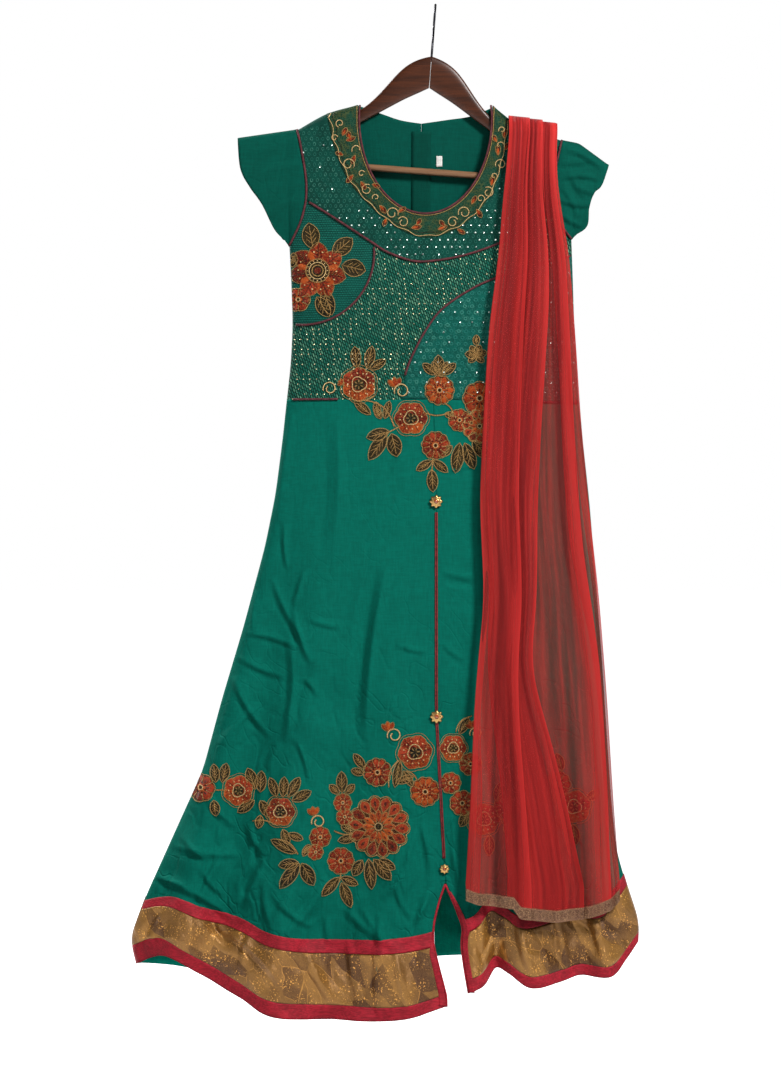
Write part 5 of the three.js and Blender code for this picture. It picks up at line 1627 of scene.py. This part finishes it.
# Flowers of each spray: their kind is a place in FLOWER_KINDS.
FLOWERS = table("spray x z radius petals kind turn", [
    (0, -177, -400, 42, 7, 3, 88), (0, -206, -443, 17, 6, 0, 0),
    (1, -115, -571, 26, 6, 1, 30), (1, -37, -622, 25, 6, 1, 0), (1, 6, -580, 21, 11, 0, 0),
    (1, 0, -663, 20, 11, 0, 10), (1, 66, -592, 24, 8, 0, 0), (1, 36, -625, 16, 9, 0, 0),
    (1, 66, -634, 24, 11, 2, 10), (1, 95, -615, 22, 8, 0, 0),
    (2, -352, -1177, 20, 7, 0, 0), (2, -296, -1181, 23, 6, 1, 20), (2, -232, -1211, 22, 6, 1, 0),
    (2, -173, -1249, 15, 8, 0, 0), (2, -180, -1271, 11, 7, 0, 0), (2, -139, -1198, 13, 8, 0, 0),
    (2, -136, -1219, 12, 8, 0, 20), (2, -85, -1233, 43, 14, 2, 22), (2, -87, -1152, 20, 11, 0, 0),
    (2, -31, -1122, 26, 6, 1, 10), (2, -16, -1181, 21, 11, 0, 5), (2, -142, -1285, 19, 10, 0, 0),
    (3, 26, -1116, 20, 6, 1, 0), (3, 22, -1168, 15, 9, 0, 0), (3, 40, -1198, 18, 9, 0, 0),
    (3, 52, -1140, 16, 9, 0, 10), (3, 72, -1222, 24, 7, 1, 0), (3, 105, -1205, 18, 10, 0, 0),
    (3, 134, -1222, 34, 12, 2, 0), (3, 182, -1172, 20, 10, 0, 0), (3, 208, -1205, 25, 6, 1, 15),
])

# Leaves of each spray, from their foot, turned by degrees from the right.
LEAVES = table("spray x z turn long wide", [
    (0, -184, -366, 100, 38, 20), (0, -154, -376, 40, 37, 19), (0, -140, -392, -14, 35, 20),
    (0, -178, -440, -58, 34, 15), (0, -168, -428, -72, 40, 15), (0, -208, -384, 170, 12, 16),
    (1, 61, -528, 70, 16, 8), (1, 61, -528, 120, 16, 8), (1, 61, -528, 20, 16, 8),
    (1, 61, -528, 170, 16, 8), (1, 61, -528, -40, 14, 7), (1, 61, -528, 220, 14, 7),
    (1, -118, -545, 96, 30, 11), (1, -102, -546, 78, 32, 11), (1, -98, -548, 30, 26, 9),
    (1, -98, -616, 140, 30, 9), (1, -86, -618, 100, 20, 8), (1, -76, -622, 75, 26, 8),
    (1, -82, -622, 120, 16, 7), (1, -70, -642, 195, 34, 13), (1, -74, -646, 236, 46, 15),
    (1, -66, -646, -76, 34, 17), (1, 5, -556, 92, 28, 12), (1, 0, -556, 140, 24, 9),
    (1, 11, -556, 40, 24, 9), (1, 5, -558, 115, 22, 7), (1, 8, -558, 66, 22, 7),
    (1, -6, -686, 212, 26, 9), (1, -3, -686, -38, 26, 9), (1, -6, -700, -86, 32, 12),
    (1, 24, -664, 220, 22, 10), (1, 36, -660, 262, 44, 14), (1, 44, -660, -70, 40, 14),
    (1, 56, -656, -48, 34, 14), (1, 14, -616, -10, 18, 7), (1, 61, -512, 90, 14, 7),
    (2, -330, -1168, 96, 26, 10), (2, -320, -1168, 78, 28, 11), (2, -333, -1196, -80, 22, 10),
    (2, -270, -1178, 112, 32, 13), (2, -262, -1182, 88, 30, 12), (2, -272, -1196, 215, 30, 11),
    (2, -262, -1196, -60, 26, 11), (2, -262, -1218, -100, 18, 9), (2, -238, -1188, 110, 28, 10),
    (2, -228, -1188, 86, 28, 10), (2, -220, -1188, 60, 32, 11), (2, -214, -1194, 26, 30, 11),
    (2, -228, -1238, -70, 22, 9), (2, -220, -1244, -20, 22, 8), (2, -210, -1272, 152, 40, 10),
    (2, -206, -1286, 190, 28, 11), (2, -204, -1288, 232, 46, 14), (2, -200, -1288, -62, 36, 15),
    (2, -198, -1276, 60, 18, 7), (2, -140, -1182, 92, 30, 12), (2, -145, -1184, 138, 18, 8),
    (2, -135, -1184, 44, 18, 8), (2, -106, -1146, 128, 26, 9), (2, -108, -1154, 165, 18, 8),
    (2, -54, -1134, -100, 40, 9), (2, -48, -1150, -60, 26, 8), (2, -34, -1158, 200, 26, 8),
    (2, -120, -1250, 190, 26, 9), (2, -122, -1240, 160, 20, 8), (2, -110, -1284, -120, 26, 12),
    (2, -100, -1282, -84, 44, 13), (2, -92, -1282, -50, 38, 14), (2, -84, -1282, -30, 26, 10),
    (2, -145, -1310, 226, 36, 11), (2, -141, -1310, -22, 26, 9), (2, -141, -1318, -68, 38, 12),
    (3, 36, -1094, 60, 26, 9), (3, 40, -1130, -50, 22, 8), (3, 50, -1210, -120, 26, 11),
    (3, 80, -1246, -90, 30, 12), (3, 92, -1196, 80, 28, 11), (3, 150, -1186, 80, 30, 12),
    (3, 164, -1200, 20, 26, 11), (3, 178, -1222, -40, 28, 11), (3, 226, -1194, 30, 24, 10),
    (3, 206, -1232, -80, 30, 12), (3, 190, -1150, 110, 26, 11), (3, 118, -1256, -100, 30, 12),
])

# Buds with a curl of cord beside each.
BUDS = table("spray x z size turn curl_x curl_z curl", [
    (1, -60, -575, 15, 100, -51, -581, 11), (1, -139, -570, 8, 150, -159, -577, 10),
    (2, -182, -1216, 13, 100, -176, -1226, 10), (2, -70, -1090, 14, 100, -62, -1097, 10.5),
    (3, 54, -1086, 12, 110, 60, -1094, 9),
])

# Stems from one place to another, bent aside in the middle by bow.
STEMS = table("spray x1 z1 x2 z2 bow", [
    (1, -111, -594, -62, -635, 12), (1, -128, -593, -92, -588, -5), (1, -16, -614, 20, -614, -4),
    (1, -55, -635, -76, -646, 0), (1, -4, -682, -6, -706, 0), (1, 14, -600, 26, -616, 3),
    (2, -274, -1226, -236, -1232, 4), (2, -243, -1252, -206, -1274, 8),
    (2, -198, -1272, -186, -1262, 3), (2, -152, -1240, -124, -1244, -3),
    (2, -70, -1174, -56, -1134, 6), (2, -44, -1150, -28, -1164, 3),
    (2, -142, -1304, -144, -1316, 0), (2, -330, -1180, -318, -1180, 0),
    (3, 30, -1092, 54, -1068, 6), (3, 60, -1210, 44, -1216, 0), (3, 158, -1190, 174, -1180, 3),
])
SPRAYS = ["spray_chest", "spray_waist", "spray_hem_left", "spray_hem_right"]


def rows_of(columns, number):
    """The rows of one spray, without their first column."""
    rows = np.stack(list(columns.values()), -1)
    return rows[rows[:, 0] == number, 1:]


def spray(number):
    """One spray's flowers, leaves, buds and stems as an embroidery."""
    work = Embroidery()
    for x1, z1, x2, z2, bow in rows_of(STEMS, number):
        t = np.linspace(0, 1, 10)
        turn = math.degrees(math.atan2(z2 - z1, x2 - x1))
        along = math.hypot(x2 - x1, z2 - z1) * t
        path = rotated(x1, z1, along, bow * np.sin(np.pi * t), turn)
        work.cords(path, 0.9, GOLD)
        work.cords(path + [0.9, 0.9], 0.5, OLIVE)
    x, z, turn, long, wide = rows_of(LEAVES, number).T
    wide = 1.22 * wide
    work.leaves(x, z, turn, long, wide, OLIVE)
    work.veins(x, z, turn, long, wide, radius=0.55)
    work.edges(x, z, turn, long, wide, gap=0.8, radius=0.6)
    for x, z, size, turn, curl_x, curl_z, curl in rows_of(BUDS, number):
        bud = x, z, turn + np.array([-38, 0, 38]), size, 0.5 * size
        work.leaves(*bud, FLAME, 1.1, 1.4, 0.2)
        work.edges(*bud, 1.1, 0.5, 0.4)
        work.curl(curl_x, curl_z, curl, 200, -430, 1.0)
    for x, z, radius, petals, kind, turn in rows_of(FLOWERS, number):
        FLOWER_KINDS[int(kind)](work, x, z, radius, int(petals), turn)
    return work


def spray_finishes():
    """The threads and cords, in the order of their numbers."""
    return [
        thread("spray_red", (0.58, 0.06, 0.02), (0.16, 0.012, 0.006)),
        thread("spray_flame", (0.72, 0.12, 0.02), (0.34, 0.028, 0.008)),
        thread("spray_maroon", (0.14, 0.016, 0.008), (0.03, 0.012, 0.008)),
        thread("spray_olive", (0.04, 0.03, 0.01), (0.008, 0.01, 0.005), 0.4),
        cord("spray_gold", (0.62, 0.38, 0.12), (0.16, 0.07, 0.02)),
        cord("spray_pale_gold", (0.85, 0.62, 0.28), (0.34, 0.18, 0.06)),
    ]


def onto_front(out):
    """Lays flat shapes on the front of the kurta, out in mm from it and within its sides."""

    def place(points):
        x, z = points[:, 0], points[:, 2]
        x = np.clip(x, left_side(z) + 1.5, right_side(z) - 1.5)
        return on_cloth(-1, x, z, out - points[:, 1])

    return place


class KurtaSprays(bpy.types.Operator):
    """Makes the four embroidered sprays of flowers and leaves"""

    bl_idname = "kurta.sprays"
    bl_label = "Sprays"

    def execute(self, context):
        finishes = spray_finishes()
        for number, node in enumerate(SPRAYS):
            obj = spray(number).build(f"{node}_threads", finishes, onto_front(0.3), weld=True)
            piece(obj, "spray_embroidery", node)
        return {"FINISHED"}


# Curls of the neck band: where they start from, in degrees, and how far they wind.
NECK_CURLS = table("x z radius start sweep", [
    (-144, -178, 6, 250, -380), (-118, -218, 8, 200, -210), (-131, -240, 9, 330, 400),
    (-111, -254, 5, 30, 300), (-103, -278, 8, 60, 380), (-90, -290, 5, 200, -300),
    (-65, -314, 9, 340, 400), (-49, -327, 8, 150, -400), (26, -327, 8, 30, 400),
    (43, -313, 9, 200, -400), (68, -292, 6, 330, 330), (79, -282, 8, 120, -380),
    (88, -258, 5, 330, 300), (98, -240, 8, 200, -380), (97, -212, 7, 340, 230),
    (-152, -200, 5, 20, 330), (100, -188, 5, 200, -330),
])
NECK_LEAVES = table("x z turn long wide", [
    (-140, -196, 60, 13, 7), (-134, -204, 20, 14, 7), (-128, -202, 110, 13, 7),
    (-121, -226, 250, 14, 6), (-139, -226, 160, 12, 6), (-112, -266, 300, 14, 7),
    (-124, -256, 230, 15, 7), (-95, -270, 340, 12, 6), (-84, -302, 310, 15, 7),
    (-74, -322, 250, 12, 6), (-56, -312, 30, 13, 6), (-36, -336, 10, 15, 7),
    (-28, -332, 60, 11, 6), (4, -338, 20, 14, 7), (14, -334, 130, 12, 6), (33, -338, 330, 13, 6),
    (54, -300, 60, 14, 6), (62, -308, 300, 14, 7), (84, -272, 80, 15, 7), (94, -226, 90, 16, 7),
    (104, -218, 60, 12, 6), (92, -206, 120, 12, 6), (103, -200, 80, 14, 7),
])
# Sequins of each part of the bodice: the grid's spacing across and up, the share of its places
# taken above a height, that height, the share below it, the sequins' radius, 0 for silver or 1
# for gold, and how far each row of the grid is shifted for its height.
SEQUINS = {
    "yoke": (12, 11, 0.12, -300, 0.8, 1.2, 0, 0.0),
    "bodice_panel_centre": (9.5, 7.5, 0.5, -430, 0.62, 0.85, 1, 0.7),
    "bodice_panel_right": (17, 15, 0.7, -430, 0.7, 1.1, 0, 0.0),
}


def inside(outline, x, z):
    """Which places lie within a closed outline, by how many of its sides lie to their right."""
    start, end = outline, np.roll(outline, -1, axis=0)
    x, z = x[:, None], z[:, None]
    rise = np.where(start[:, 1] == end[:, 1], 1.0, end[:, 1] - start[:, 1])
    at = start[:, 0] + (z - start[:, 1]) * (end[:, 0] - start[:, 0]) / rise
    crossing = ((start[:, 1] > z) != (end[:, 1] > z)) & (x < at)
    return crossing.sum(axis=1) % 2 == 1


def outline(border, back):
    """A closed outline along a border and back along another."""
    ladder = np.linspace(0, 1, 160)
    return np.concatenate([border(ladder * border.steps), back(back.steps * (1 - ladder))])


PATCHES = {
    "yoke": outline(yoke.outer, yoke.band),
    "bodice_panel_centre": outline(centre.top, centre.bottom),
    "bodice_panel_right": outline(flank.top + flank.right, flank.left + flank.bottom),
}


class KurtaNeckwork(bpy.types.Operator):
    """Makes the cord work of the neck band and the sequins of the bodice"""

    bl_idname = "kurta.neckwork"
    bl_label = "Neck work and sequins"

    def execute(self, context):
        work = Embroidery()
        for row in zip(*NECK_CURLS.values()):
            work.curl(*row, 0.75)
        x, z, turn, long, wide = NECK_LEAVES.values()
        work.leaves(x, z, turn, long, wide, MAROON, 1.2, 0.9)
        work.leaves(x, z, turn, 0.7 * long, 0.5 * wide, FLAME, 1.2, 0.6, 0.7)
        work.edges(x, z, turn, long, wide, 1.2, 0.3, 0.45)
        i = np.linspace(0.3, 19.7, 260)
        ripple = 0.05 * np.sin(i * 5)
        for row, thick, kind in ((0.97, 0.6, PALE_GOLD), (0.84, 0.4, OLIVE), (0.08, 0.55, GOLD)):
            line = yoke(i, [row, row - 0.1])
            share = (0.5 + ripple * 8 * (row > 0.5))[:, None]
            work.cords(line[0] * (1 - share) + line[1] * share, thick, kind)
        obj = work.build("neck_scrolls", spray_finishes(), onto_front(1.3), weld=True)
        piece(obj, "spray_embroidery")

        sequins = Embroidery()
        chance = np.random.default_rng(8)
        for node, (wide, high, above, height, below, radius, kind, slant) in SEQUINS.items():
            border = PATCHES[node]
            (left, foot), (right, top) = border.min(axis=0), border.max(axis=0)
            rows = np.arange(foot, top, high)
            x, z = np.meshgrid(np.arange(left - 200, right + 200, wide), rows)
            x = x + (0.5 * wide * (np.arange(len(rows)) % 2))[:, None] - slant * (z - foot)
            kept = chance.random(x.shape) < np.where(z > height, above, below)
            x, z = x[kept] + chance.normal(0, 0.5, kept.sum()), z[kept]
            within = inside(border, x, z) & (z < YOKE_SLOPE * x - YOKE_DROP - 1)
            sequins.sequins(x[within], z[within], radius, 0.9, kind)
        finishes = [metal("silver_sequin", (0.72, 0.85, 0.78), 0.25),
                    metal("gold_sequin", (0.85, 0.72, 0.42), 0.28)]
        obj = sequins.build("bodice_sequins", finishes, onto_front(0.5), weld=True)
        piece(obj, "spray_embroidery")
        return {"FINISHED"}


# ---- zip and label

# Heights of the tape's ends, and of the first and last tooth.
ZIP_TAPE = -188, -593
ZIP_TEETH = -204, -588


class KurtaZip(bpy.types.Operator):
    """Makes the zip's tape, teeth and blank label inside the back, and finishes its metal"""

    bl_idname = "kurta.zip"
    bl_label = "Zip"

    def execute(self, context):
        cloth = context.scene.kurta_cloth
        z = np.linspace(*ZIP_TAPE, 90)[:, None]
        x = centre_back(z) + np.linspace(-14, 14, 7)
        tape = cotton("zip_tape", shade(cloth.sleeve, 0.68))
        faces = Faces().grid(on_cloth(1, x, z, -2.3), turned=True)
        obj = faces.build("zip_tape_cloth", [tape], thick=0.8)
        cloth_piece(obj, "zip_tape", (29, 410), "zip_tape")

        z = np.linspace(*ZIP_TEETH, 190)
        side = np.where(np.arange(len(z)) % 2, 1.0, -1.0)
        x = centre_back(z) + side * 0.7
        across = np.outer([0.05, 1.5, 1.5, 0.05], [-1, 1, 1, -1])
        up = np.outer([0.02, 0.55, 0.55, 0.02], [-1, -1, 1, 1])
        out = np.array([[0.1], [0.1], [0.9], [0.9]])
        x, y, z = (values[:, None, None] for values in (x, depth(x, z, 1), z))
        faces = Faces().grid(xyz(x + across, y + out, z + up), ring=True)
        obj = faces.build("zip_teeth", [metal("zip_metal", (0.02, 0.09, 0.07), 0.35)], weld=True)
        piece(obj, "zip_metal")
        for node in ("zip_slider", "zip_pull"):
            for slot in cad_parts[node].material_slots:
                slot.material = obj.data.materials[0]

        x, z = np.meshgrid(np.linspace(1.5, 10.5, 7), np.linspace(-225, -241, 9))
        faces = Faces().grid(on_cloth(1, x, z, -2.4))
        obj = faces.build("label_cloth", [cotton("label", (0.75, 0.74, 0.7))], thick=0.4)
        piece(obj, "label", "label")
        return {"FINISHED"}


# ---- dupatta

# Where each fold line a to l lies across, as a share of the width, by height, and how far it
# stands out, as a share of the pleats' depth.
FOLD_LINES = "a b c d e f g h i j k l"
FOLD_PLACES = table("z " + FOLD_LINES, [
    (-184, 0.12, 0.00, 0.45, 0.15, 0.70, 0.30, 0.60, 0.35, 0.95, 0.60, 1.00, 0.75),
    (-440, 0.11, 0.00, 0.42, 0.10, 0.71, 0.27, 0.58, 0.32, 0.95, 0.74, 1.00, 0.84),
    (-575, 0.10, 0.00, 0.40, 0.07, 0.63, 0.25, 0.54, 0.30, 0.94, 0.79, 1.00, 0.88),
    (-835, 0.10, 0.00, 0.36, 0.05, 0.50, 0.22, 0.42, 0.26, 0.90, 0.77, 1.00, 0.93),
    (-987, 0.05, 0.00, 0.33, 0.06, 0.42, 0.21, 0.36, 0.24, 0.96, 0.90, 1.00, 0.94),
    (-1097, 0.06, 0.00, 0.36, 0.14, 0.58, 0.26, 0.50, 0.30, 0.97, 0.92, 1.00, 0.95),
    (-1189, 0.10, 0.00, 0.40, 0.21, 0.68, 0.29, 0.60, 0.34, 0.97, 0.93, 1.00, 0.95),
    (-1316, 0.11, 0.00, 0.44, 0.27, 0.78, 0.32, 0.68, 0.36, 0.95, 0.93, 1.00, 0.97),
])
FOLD_OUT = [0.5, 0.55, 1.0, 0.35, 1.0, 0.15, 0.25, 0.05, 0.6, 0.2, 0.5, 0.1]
FOOT = table("share z", [
    (0.0, -1322), (0.1, -1330), (0.32, -1336), (0.36, -1350), (0.6, -1358), (0.8, -1352),
    (0.95, -1340), (1.0, -1326),
])
# Where the folds' own widths are measured: its height, and the fall's width and depth there.
PLEATED = {"z": -640.0, "wide": 170, "deep": 16}
LAYER_DEPTH = 1.2
CLOTH_WIDTH, CLOTH_LENGTH = 600, 2250
DRAPE_MESH = {"across": 340, "front": 120, "over": 16, "back": 84}
SHOULDER = {"crest": -167, "foot": -195, "slope": 0.16}


class Drape:
    """The dupatta's place at share s of its width. Between fold lines the cloth runs straight
    across; each fold is rounded by a bell over a small share."""

    def __init__(self, columns):
        letters = FOLD_LINES.split()
        self.places = [reading(FOLD_PLACES, "z", letter, 90) for letter in letters]
        middle = np.array([place(PLEATED["z"]) for place in self.places])
        wide, deep = PLEATED["wide"], PLEATED["deep"]
        run = totals(np.hypot(np.diff(middle) * wide, np.diff(FOLD_OUT) * deep))
        run /= run[-1]
        ladder = np.linspace(0, 1, 600)
        bell = np.hanning(19)
        hats = []
        for k in range(len(letters)):
            hat = np.pad(np.interp(ladder, run, np.eye(len(letters))[k]), 9, mode="edge")
            hats.append(np.convolve(hat, bell / bell.sum(), mode="valid"))
        self.share = np.linspace(0, 1, columns)
        self.hats = np.array([np.interp(self.share, ladder, hat) for hat in hats])
        self.near = np.interp(self.share, run, np.arange(len(letters)))

    def across(self, z):
        return np.stack([place(z) for place in self.places], -1) @ self.hats

    def out(self):
        return np.array(FOLD_OUT) @ self.hats

    def fall(self, side, z):
        """Points of the hanging cloth at heights z: rows x columns. It lies out from the kurta by
        its smooth depth + clear + fold line's place * pleat * layer depth + crinkles."""
        dupatta = bpy.context.scene.kurta_dupatta
        columns = FALL_FRONT if side < 0 else FALL_BACK
        z = np.broadcast_to(z, (z.shape[0], len(self.share))) if z.shape[1] == 1 else z
        height = z.mean(axis=1)
        left, right, pleat = (reading(columns, "z", key, 80)(z) for key in list(columns)[1:])
        across = self.across(height)
        x = left + (right - left) * across
        near = np.minimum(z, SHOULDER["foot"])
        base = np.maximum(smooth_depth(x, near, side)[0], 9)
        clear = dupatta.clear + np.clip((-600 - z) / 500, 0, 1) * 5
        s = self.share * CLOTH_WIDTH
        ripple = np.sin(s / 3.1 + 1.5 * np.sin(z / 110) + z / 150) * np.sin(s / 19 + z / 230)
        ripple = ripple + 1.3 * np.sin(s / 9 + z / 190 + 1.6 * np.sin(z / 140))
        out = base + clear + (self.out() + 0.15) * pleat * LAYER_DEPTH + dupatta.crinkle * ripple
        x = x + 1.2 * dupatta.crinkle * np.sin(s / 13 + z / 120)
        return xyz(x, side * out, z)

    def arch(self, turns):
        """Over the shoulder the cloth runs round an arch from the front fall to the back one."""
        foot = np.full((1, 1), float(SHOULDER["foot"]))
        front, back = self.fall(-1, foot), self.fall(1, foot)
        angle = np.pi * turns[:, None]
        crest = SHOULDER["crest"] - SHOULDER["slope"] * (front[..., 0] - 110) + 4 * self.out()
        middle, half = (front[..., 1] + back[..., 1]) / 2, (back[..., 1] - front[..., 1]) / 2
        x = front[..., 0] + (back[..., 0] - front[..., 0]) * turns[:, None]
        z = foot + (crest - foot) * np.sin(angle)
        return xyz(x, middle - half * np.cos(angle), z)


class KurtaDupatta(bpy.types.Operator):
    """Makes the dupatta over the shoulder, and its lace"""

    bl_idname = "kurta.dupatta"
    bl_label = "Dupatta"

    def execute(self, context):
        dupatta = context.scene.kurta_dupatta
        drape = Drape(DRAPE_MESH["across"])
        foot = reading(FOOT, "share", "z")(drape.across(FALL_FRONT["z"][-1:])[0])
        back_foot = FALL_BACK["z"][-1]
        down = np.linspace(1, 0, DRAPE_MESH["front"])[:, None]
        front = drape.fall(-1, SHOULDER["foot"] + (foot - SHOULDER["foot"]) * down)
        over = drape.arch(np.linspace(0, 1, DRAPE_MESH["over"])[1:-1])
        behind = np.linspace(SHOULDER["foot"], back_foot, DRAPE_MESH["back"])
        back = drape.fall(1, behind[:, None])
        points = np.concatenate([front, over, back])
        along = totals(np.linalg.norm(np.diff(points, axis=0), axis=-1).mean(axis=1))
        knot = drape.near - np.round(drape.near)
        place = drape.share * CLOTH_WIDTH
        lay = xyz(place, along[:, None], np.exp(-((knot / 0.12) ** 2)))
        faces = Faces().grid(points, lay, turned=True)
        finish = sheer("chiffon", dupatta.red, dupatta.edge)
        obj = faces.build("dupatta", [finish])
        piece(obj, "chiffon", "dupatta_front", "dupatta_shoulder", "dupatta_back")

        faces = Faces()
        strip = np.linspace(0, 1, 6)[:, None]
        for side, top, turned in ((-1, foot, False), (1, np.full_like(foot, back_foot), True)):
            points = drape.fall(side, top - strip * dupatta.lace)
            faces.grid(points, xyz(place, 0.0, 1 - strip), turned=turned)
        gold = lace("gold_lace", (0.42, 0.24, 0.11), (0.13, 0.05, 0.028))
        trim = faces.build("dupatta_laces", [gold])
        piece(trim, "gold_lace", "dupatta_lace_front", "dupatta_lace_back")
        return {"FINISHED"}


# ---- hanger

# Upper and lower edge of an arm, from the middle outwards.
ARM = table("x top bottom", [
    (0, -76, -124), (14, -79, -132), (39, -93, -145), (55, -113, -156), (70, -134, -165),
    (84, -151, -174), (105, -169, -188), (150, -188, -209), (190, -211, -238), (204, -222, -259),
    (215, -238, -262),
])
WIRE = {"radius": 1.75, "hook": 21, "start": -55, "tip": 215, "foot": -76}
BAR = {"radius": 5, "z": -250, "half": 203}
ARM_SIZE = {"long": 215.5, "half": 5.5, "gap": 0.15}
HANG_TILT = 4.3


def tilted(points):
    """Turned about the hook's hanging point, right end low."""
    cos, sin = math.cos(math.radians(HANG_TILT)), math.sin(math.radians(HANG_TILT))
    x, y, z = points.T
    return xyz(x * cos + z * sin, y, z * cos - x * sin)


class KurtaHanger(bpy.types.Operator):
    """Makes the hanger's two wooden arms, its crossbar and its wire hook"""

    bl_idname = "kurta.hanger"
    bl_label = "Hanger"

    def execute(self, context):
        hanger = context.scene.kurta_hanger
        wood = wooden("wood", hanger.wood, shade(hanger.wood, 0.4), 0.34)
        top, bottom = reading(ARM, "x", "top", 26), reading(ARM, "x", "bottom", 26)
        share = np.concatenate([[0, 0.0006, 0.0012, 0.003], np.linspace(0.006, 1, 90)])
        x = ARM_SIZE["long"] * share[:, None]
        angle = full_turn(40)
        closing = np.clip(np.minimum(share * 800, (1 - share) * 26), 0, 1)[:, None]
        closing = np.sqrt(1 - (1 - closing) ** 2)
        right, up = np.cos(angle), np.sin(angle)
        thick = ARM_SIZE["half"] * closing * np.sign(right) * np.abs(right) ** 0.6
        half = (top(x) - bottom(x)) / 2 * closing
        high = (top(x) + bottom(x)) / 2 + half * np.sign(up) * np.abs(up) ** 0.75
        for name, side in (("left", -1), ("right", 1)):
            points = xyz(side * (x + ARM_SIZE["gap"]), thick, high)
            faces = Faces().grid(points, ring=True, turned=side > 0)
            obj = faces.build(f"hanger_arm_{name}_wood", [wood], tilted, weld=True)
            piece(obj, "wood", f"hanger_arm_{name}")

        path = np.linspace([-BAR["half"], 0, BAR["z"]], [BAR["half"], 0, BAR["z"]], 60)
        faces = Faces().rod(path, BAR["radius"], 28)
        pale = wooden("crossbar", hanger.bar, shade(hanger.bar, 0.6), 0.4)
        piece(faces.build("crossbar", [pale], tilted, weld=True), "crossbar", "hanger_bar")

        turn = np.radians(np.linspace(WIRE["start"], WIRE["tip"], 60))
        middle = WIRE["radius"] - WIRE["hook"]
        hook = xyz(0.0, WIRE["hook"] * np.cos(turn), middle + WIRE["hook"] * np.sin(turn))
        stem = [(0, 0, -8), (0, 0, 6), (0, 0.6, 16), (0, 4, 26)]
        path = np.concatenate([np.array(stem) + [0, 0, WIRE["foot"]], hook])
        faces = Faces().rod(path, WIRE["radius"], 14)
        steel = metal("wire", (0.03, 0.03, 0.035), 0.3)
        piece(faces.build("hook_wire", [steel], tilted, weld=True), "wire", "hanger_hook")
        return {"FINISHED"}


# ---- stage

FLOOR = -1640.0


class KurtaStage(bpy.types.Operator):
    """Makes the pale floor, the studio light and the camera"""

    bl_idname = "kurta.stage"
    bl_label = "Stage"

    def execute(self, context):
        scene, sizes = context.scene, context.scene.kurta_stage
        angle = np.linspace(0, 2 * np.pi, 49)[::-1, None]
        reach = np.array([0.0, 3000.0, 60000.0])
        faces = Faces().grid(xyz(reach * np.cos(angle), reach * np.sin(angle), FLOOR))
        paper = Finish("paper")
        tone = paper.place.noise(900, 2.0).mixed((0.86, 0.86, 0.87), (0.9, 0.9, 0.91))
        white = (1, 1, 1, 1)
        paper.surface(tone, 0.9, emission_color=white, emission_strength=sizes.paper)
        ground = faces.build("floor", [paper.material])
        ground.visible_diffuse = False

        world = scene.world or bpy.data.worlds.new("studio")
        scene.world = world
        world.use_nodes = True
        nodes, links = world.node_tree.nodes, world.node_tree.links
        nodes["Background"].inputs["Color"].default_value = white
        path = nodes.new("ShaderNodeLightPath")
        level = nodes.new("ShaderNodeMapRange")
        level.inputs["To Min"].default_value = sizes.room
        links.new(path.outputs["Is Camera Ray"], level.inputs["Value"])
        links.new(level.outputs["Result"], nodes["Background"].inputs["Strength"])
        scene.view_settings.view_transform = "Standard"

        aim = Vector((0, 0, -0.8))
        lights = {
            "key": ((1.7, -2.6, 1.5), 0.7, sizes.key),
            "fill": ((-2.6, -3.4, -0.2), 2.4, sizes.fill),
            "rear_key": ((-2.4, 1.6, 1.5), 0.7, sizes.rear),
            "rear_fill": ((2.6, 3.4, -0.2), 2.4, sizes.fill),
        }
        for name, (where, size, power) in lights.items():
            light = bpy.data.lights.new(name, "AREA")
            light.shape, light.size, light.energy = "SQUARE", size, power
            lamp = bpy.data.objects.new(name, light)
            lamp.location = where
            lamp.rotation_euler = (aim - lamp.location).to_track_quat("-Z", "Y").to_euler()
            scene.collection.objects.link(lamp)

        lens = bpy.data.cameras.new("camera")
        lens.sensor_width = 36
        lens.lens = 36 * sizes.distance / sizes.tall
        camera = bpy.data.objects.new("camera", lens)
        camera.location = (sizes.centre_x, -sizes.distance - 0.03, sizes.centre_z)
        camera.rotation_euler = (math.pi / 2, 0, 0)
        scene.collection.objects.link(camera)
        scene.camera = camera
        return {"FINISHED"}


# ---- panel and running

SIZES = {
    "kurta_cloth": KurtaClothSizes, "kurta_dupatta": KurtaDupattaSizes,
    "kurta_hanger": KurtaHangerSizes, "kurta_stage": KurtaStageSizes,
}
OPERATORS = [
    KurtaHanger, KurtaBodice, KurtaSkirt, KurtaBands, KurtaSleeves, KurtaPipings, KurtaButtons,
    KurtaSprays, KurtaNeckwork, KurtaZip, KurtaDupatta, KurtaStage,
]


class KurtaPanel(bpy.types.Panel):
    """Lists the sizes and the pieces"""

    bl_idname = "VIEW3D_PT_kurta"
    bl_label = "Kurta and dupatta"
    bl_space_type = "VIEW_3D"
    bl_region_type = "UI"
    bl_category = "Kurta"

    def draw(self, context):
        for group, sizes in SIZES.items():
            values = getattr(context.scene, group)
            column = self.layout.column(heading=sizes.__doc__)
            for name in sizes.__annotations__:
                column.prop(values, name)
        for operator in OPERATORS:
            self.layout.operator(operator.bl_idname)


def register():
    for kind in [*SIZES.values(), *OPERATORS, KurtaPanel]:
        bpy.utils.register_class(kind)
    for group, sizes in SIZES.items():
        setattr(bpy.types.Scene, group, PointerProperty(type=sizes))


def unregister():
    for group in SIZES:
        delattr(bpy.types.Scene, group)
    for kind in [KurtaPanel, *reversed(OPERATORS), *reversed(SIZES.values())]:
        bpy.utils.unregister_class(kind)


def main():
    register()
    for operator in OPERATORS:
        group, name = operator.bl_idname.split(".")
        getattr(getattr(bpy.ops, group), name)()


if __name__ == "__main__":
    main()
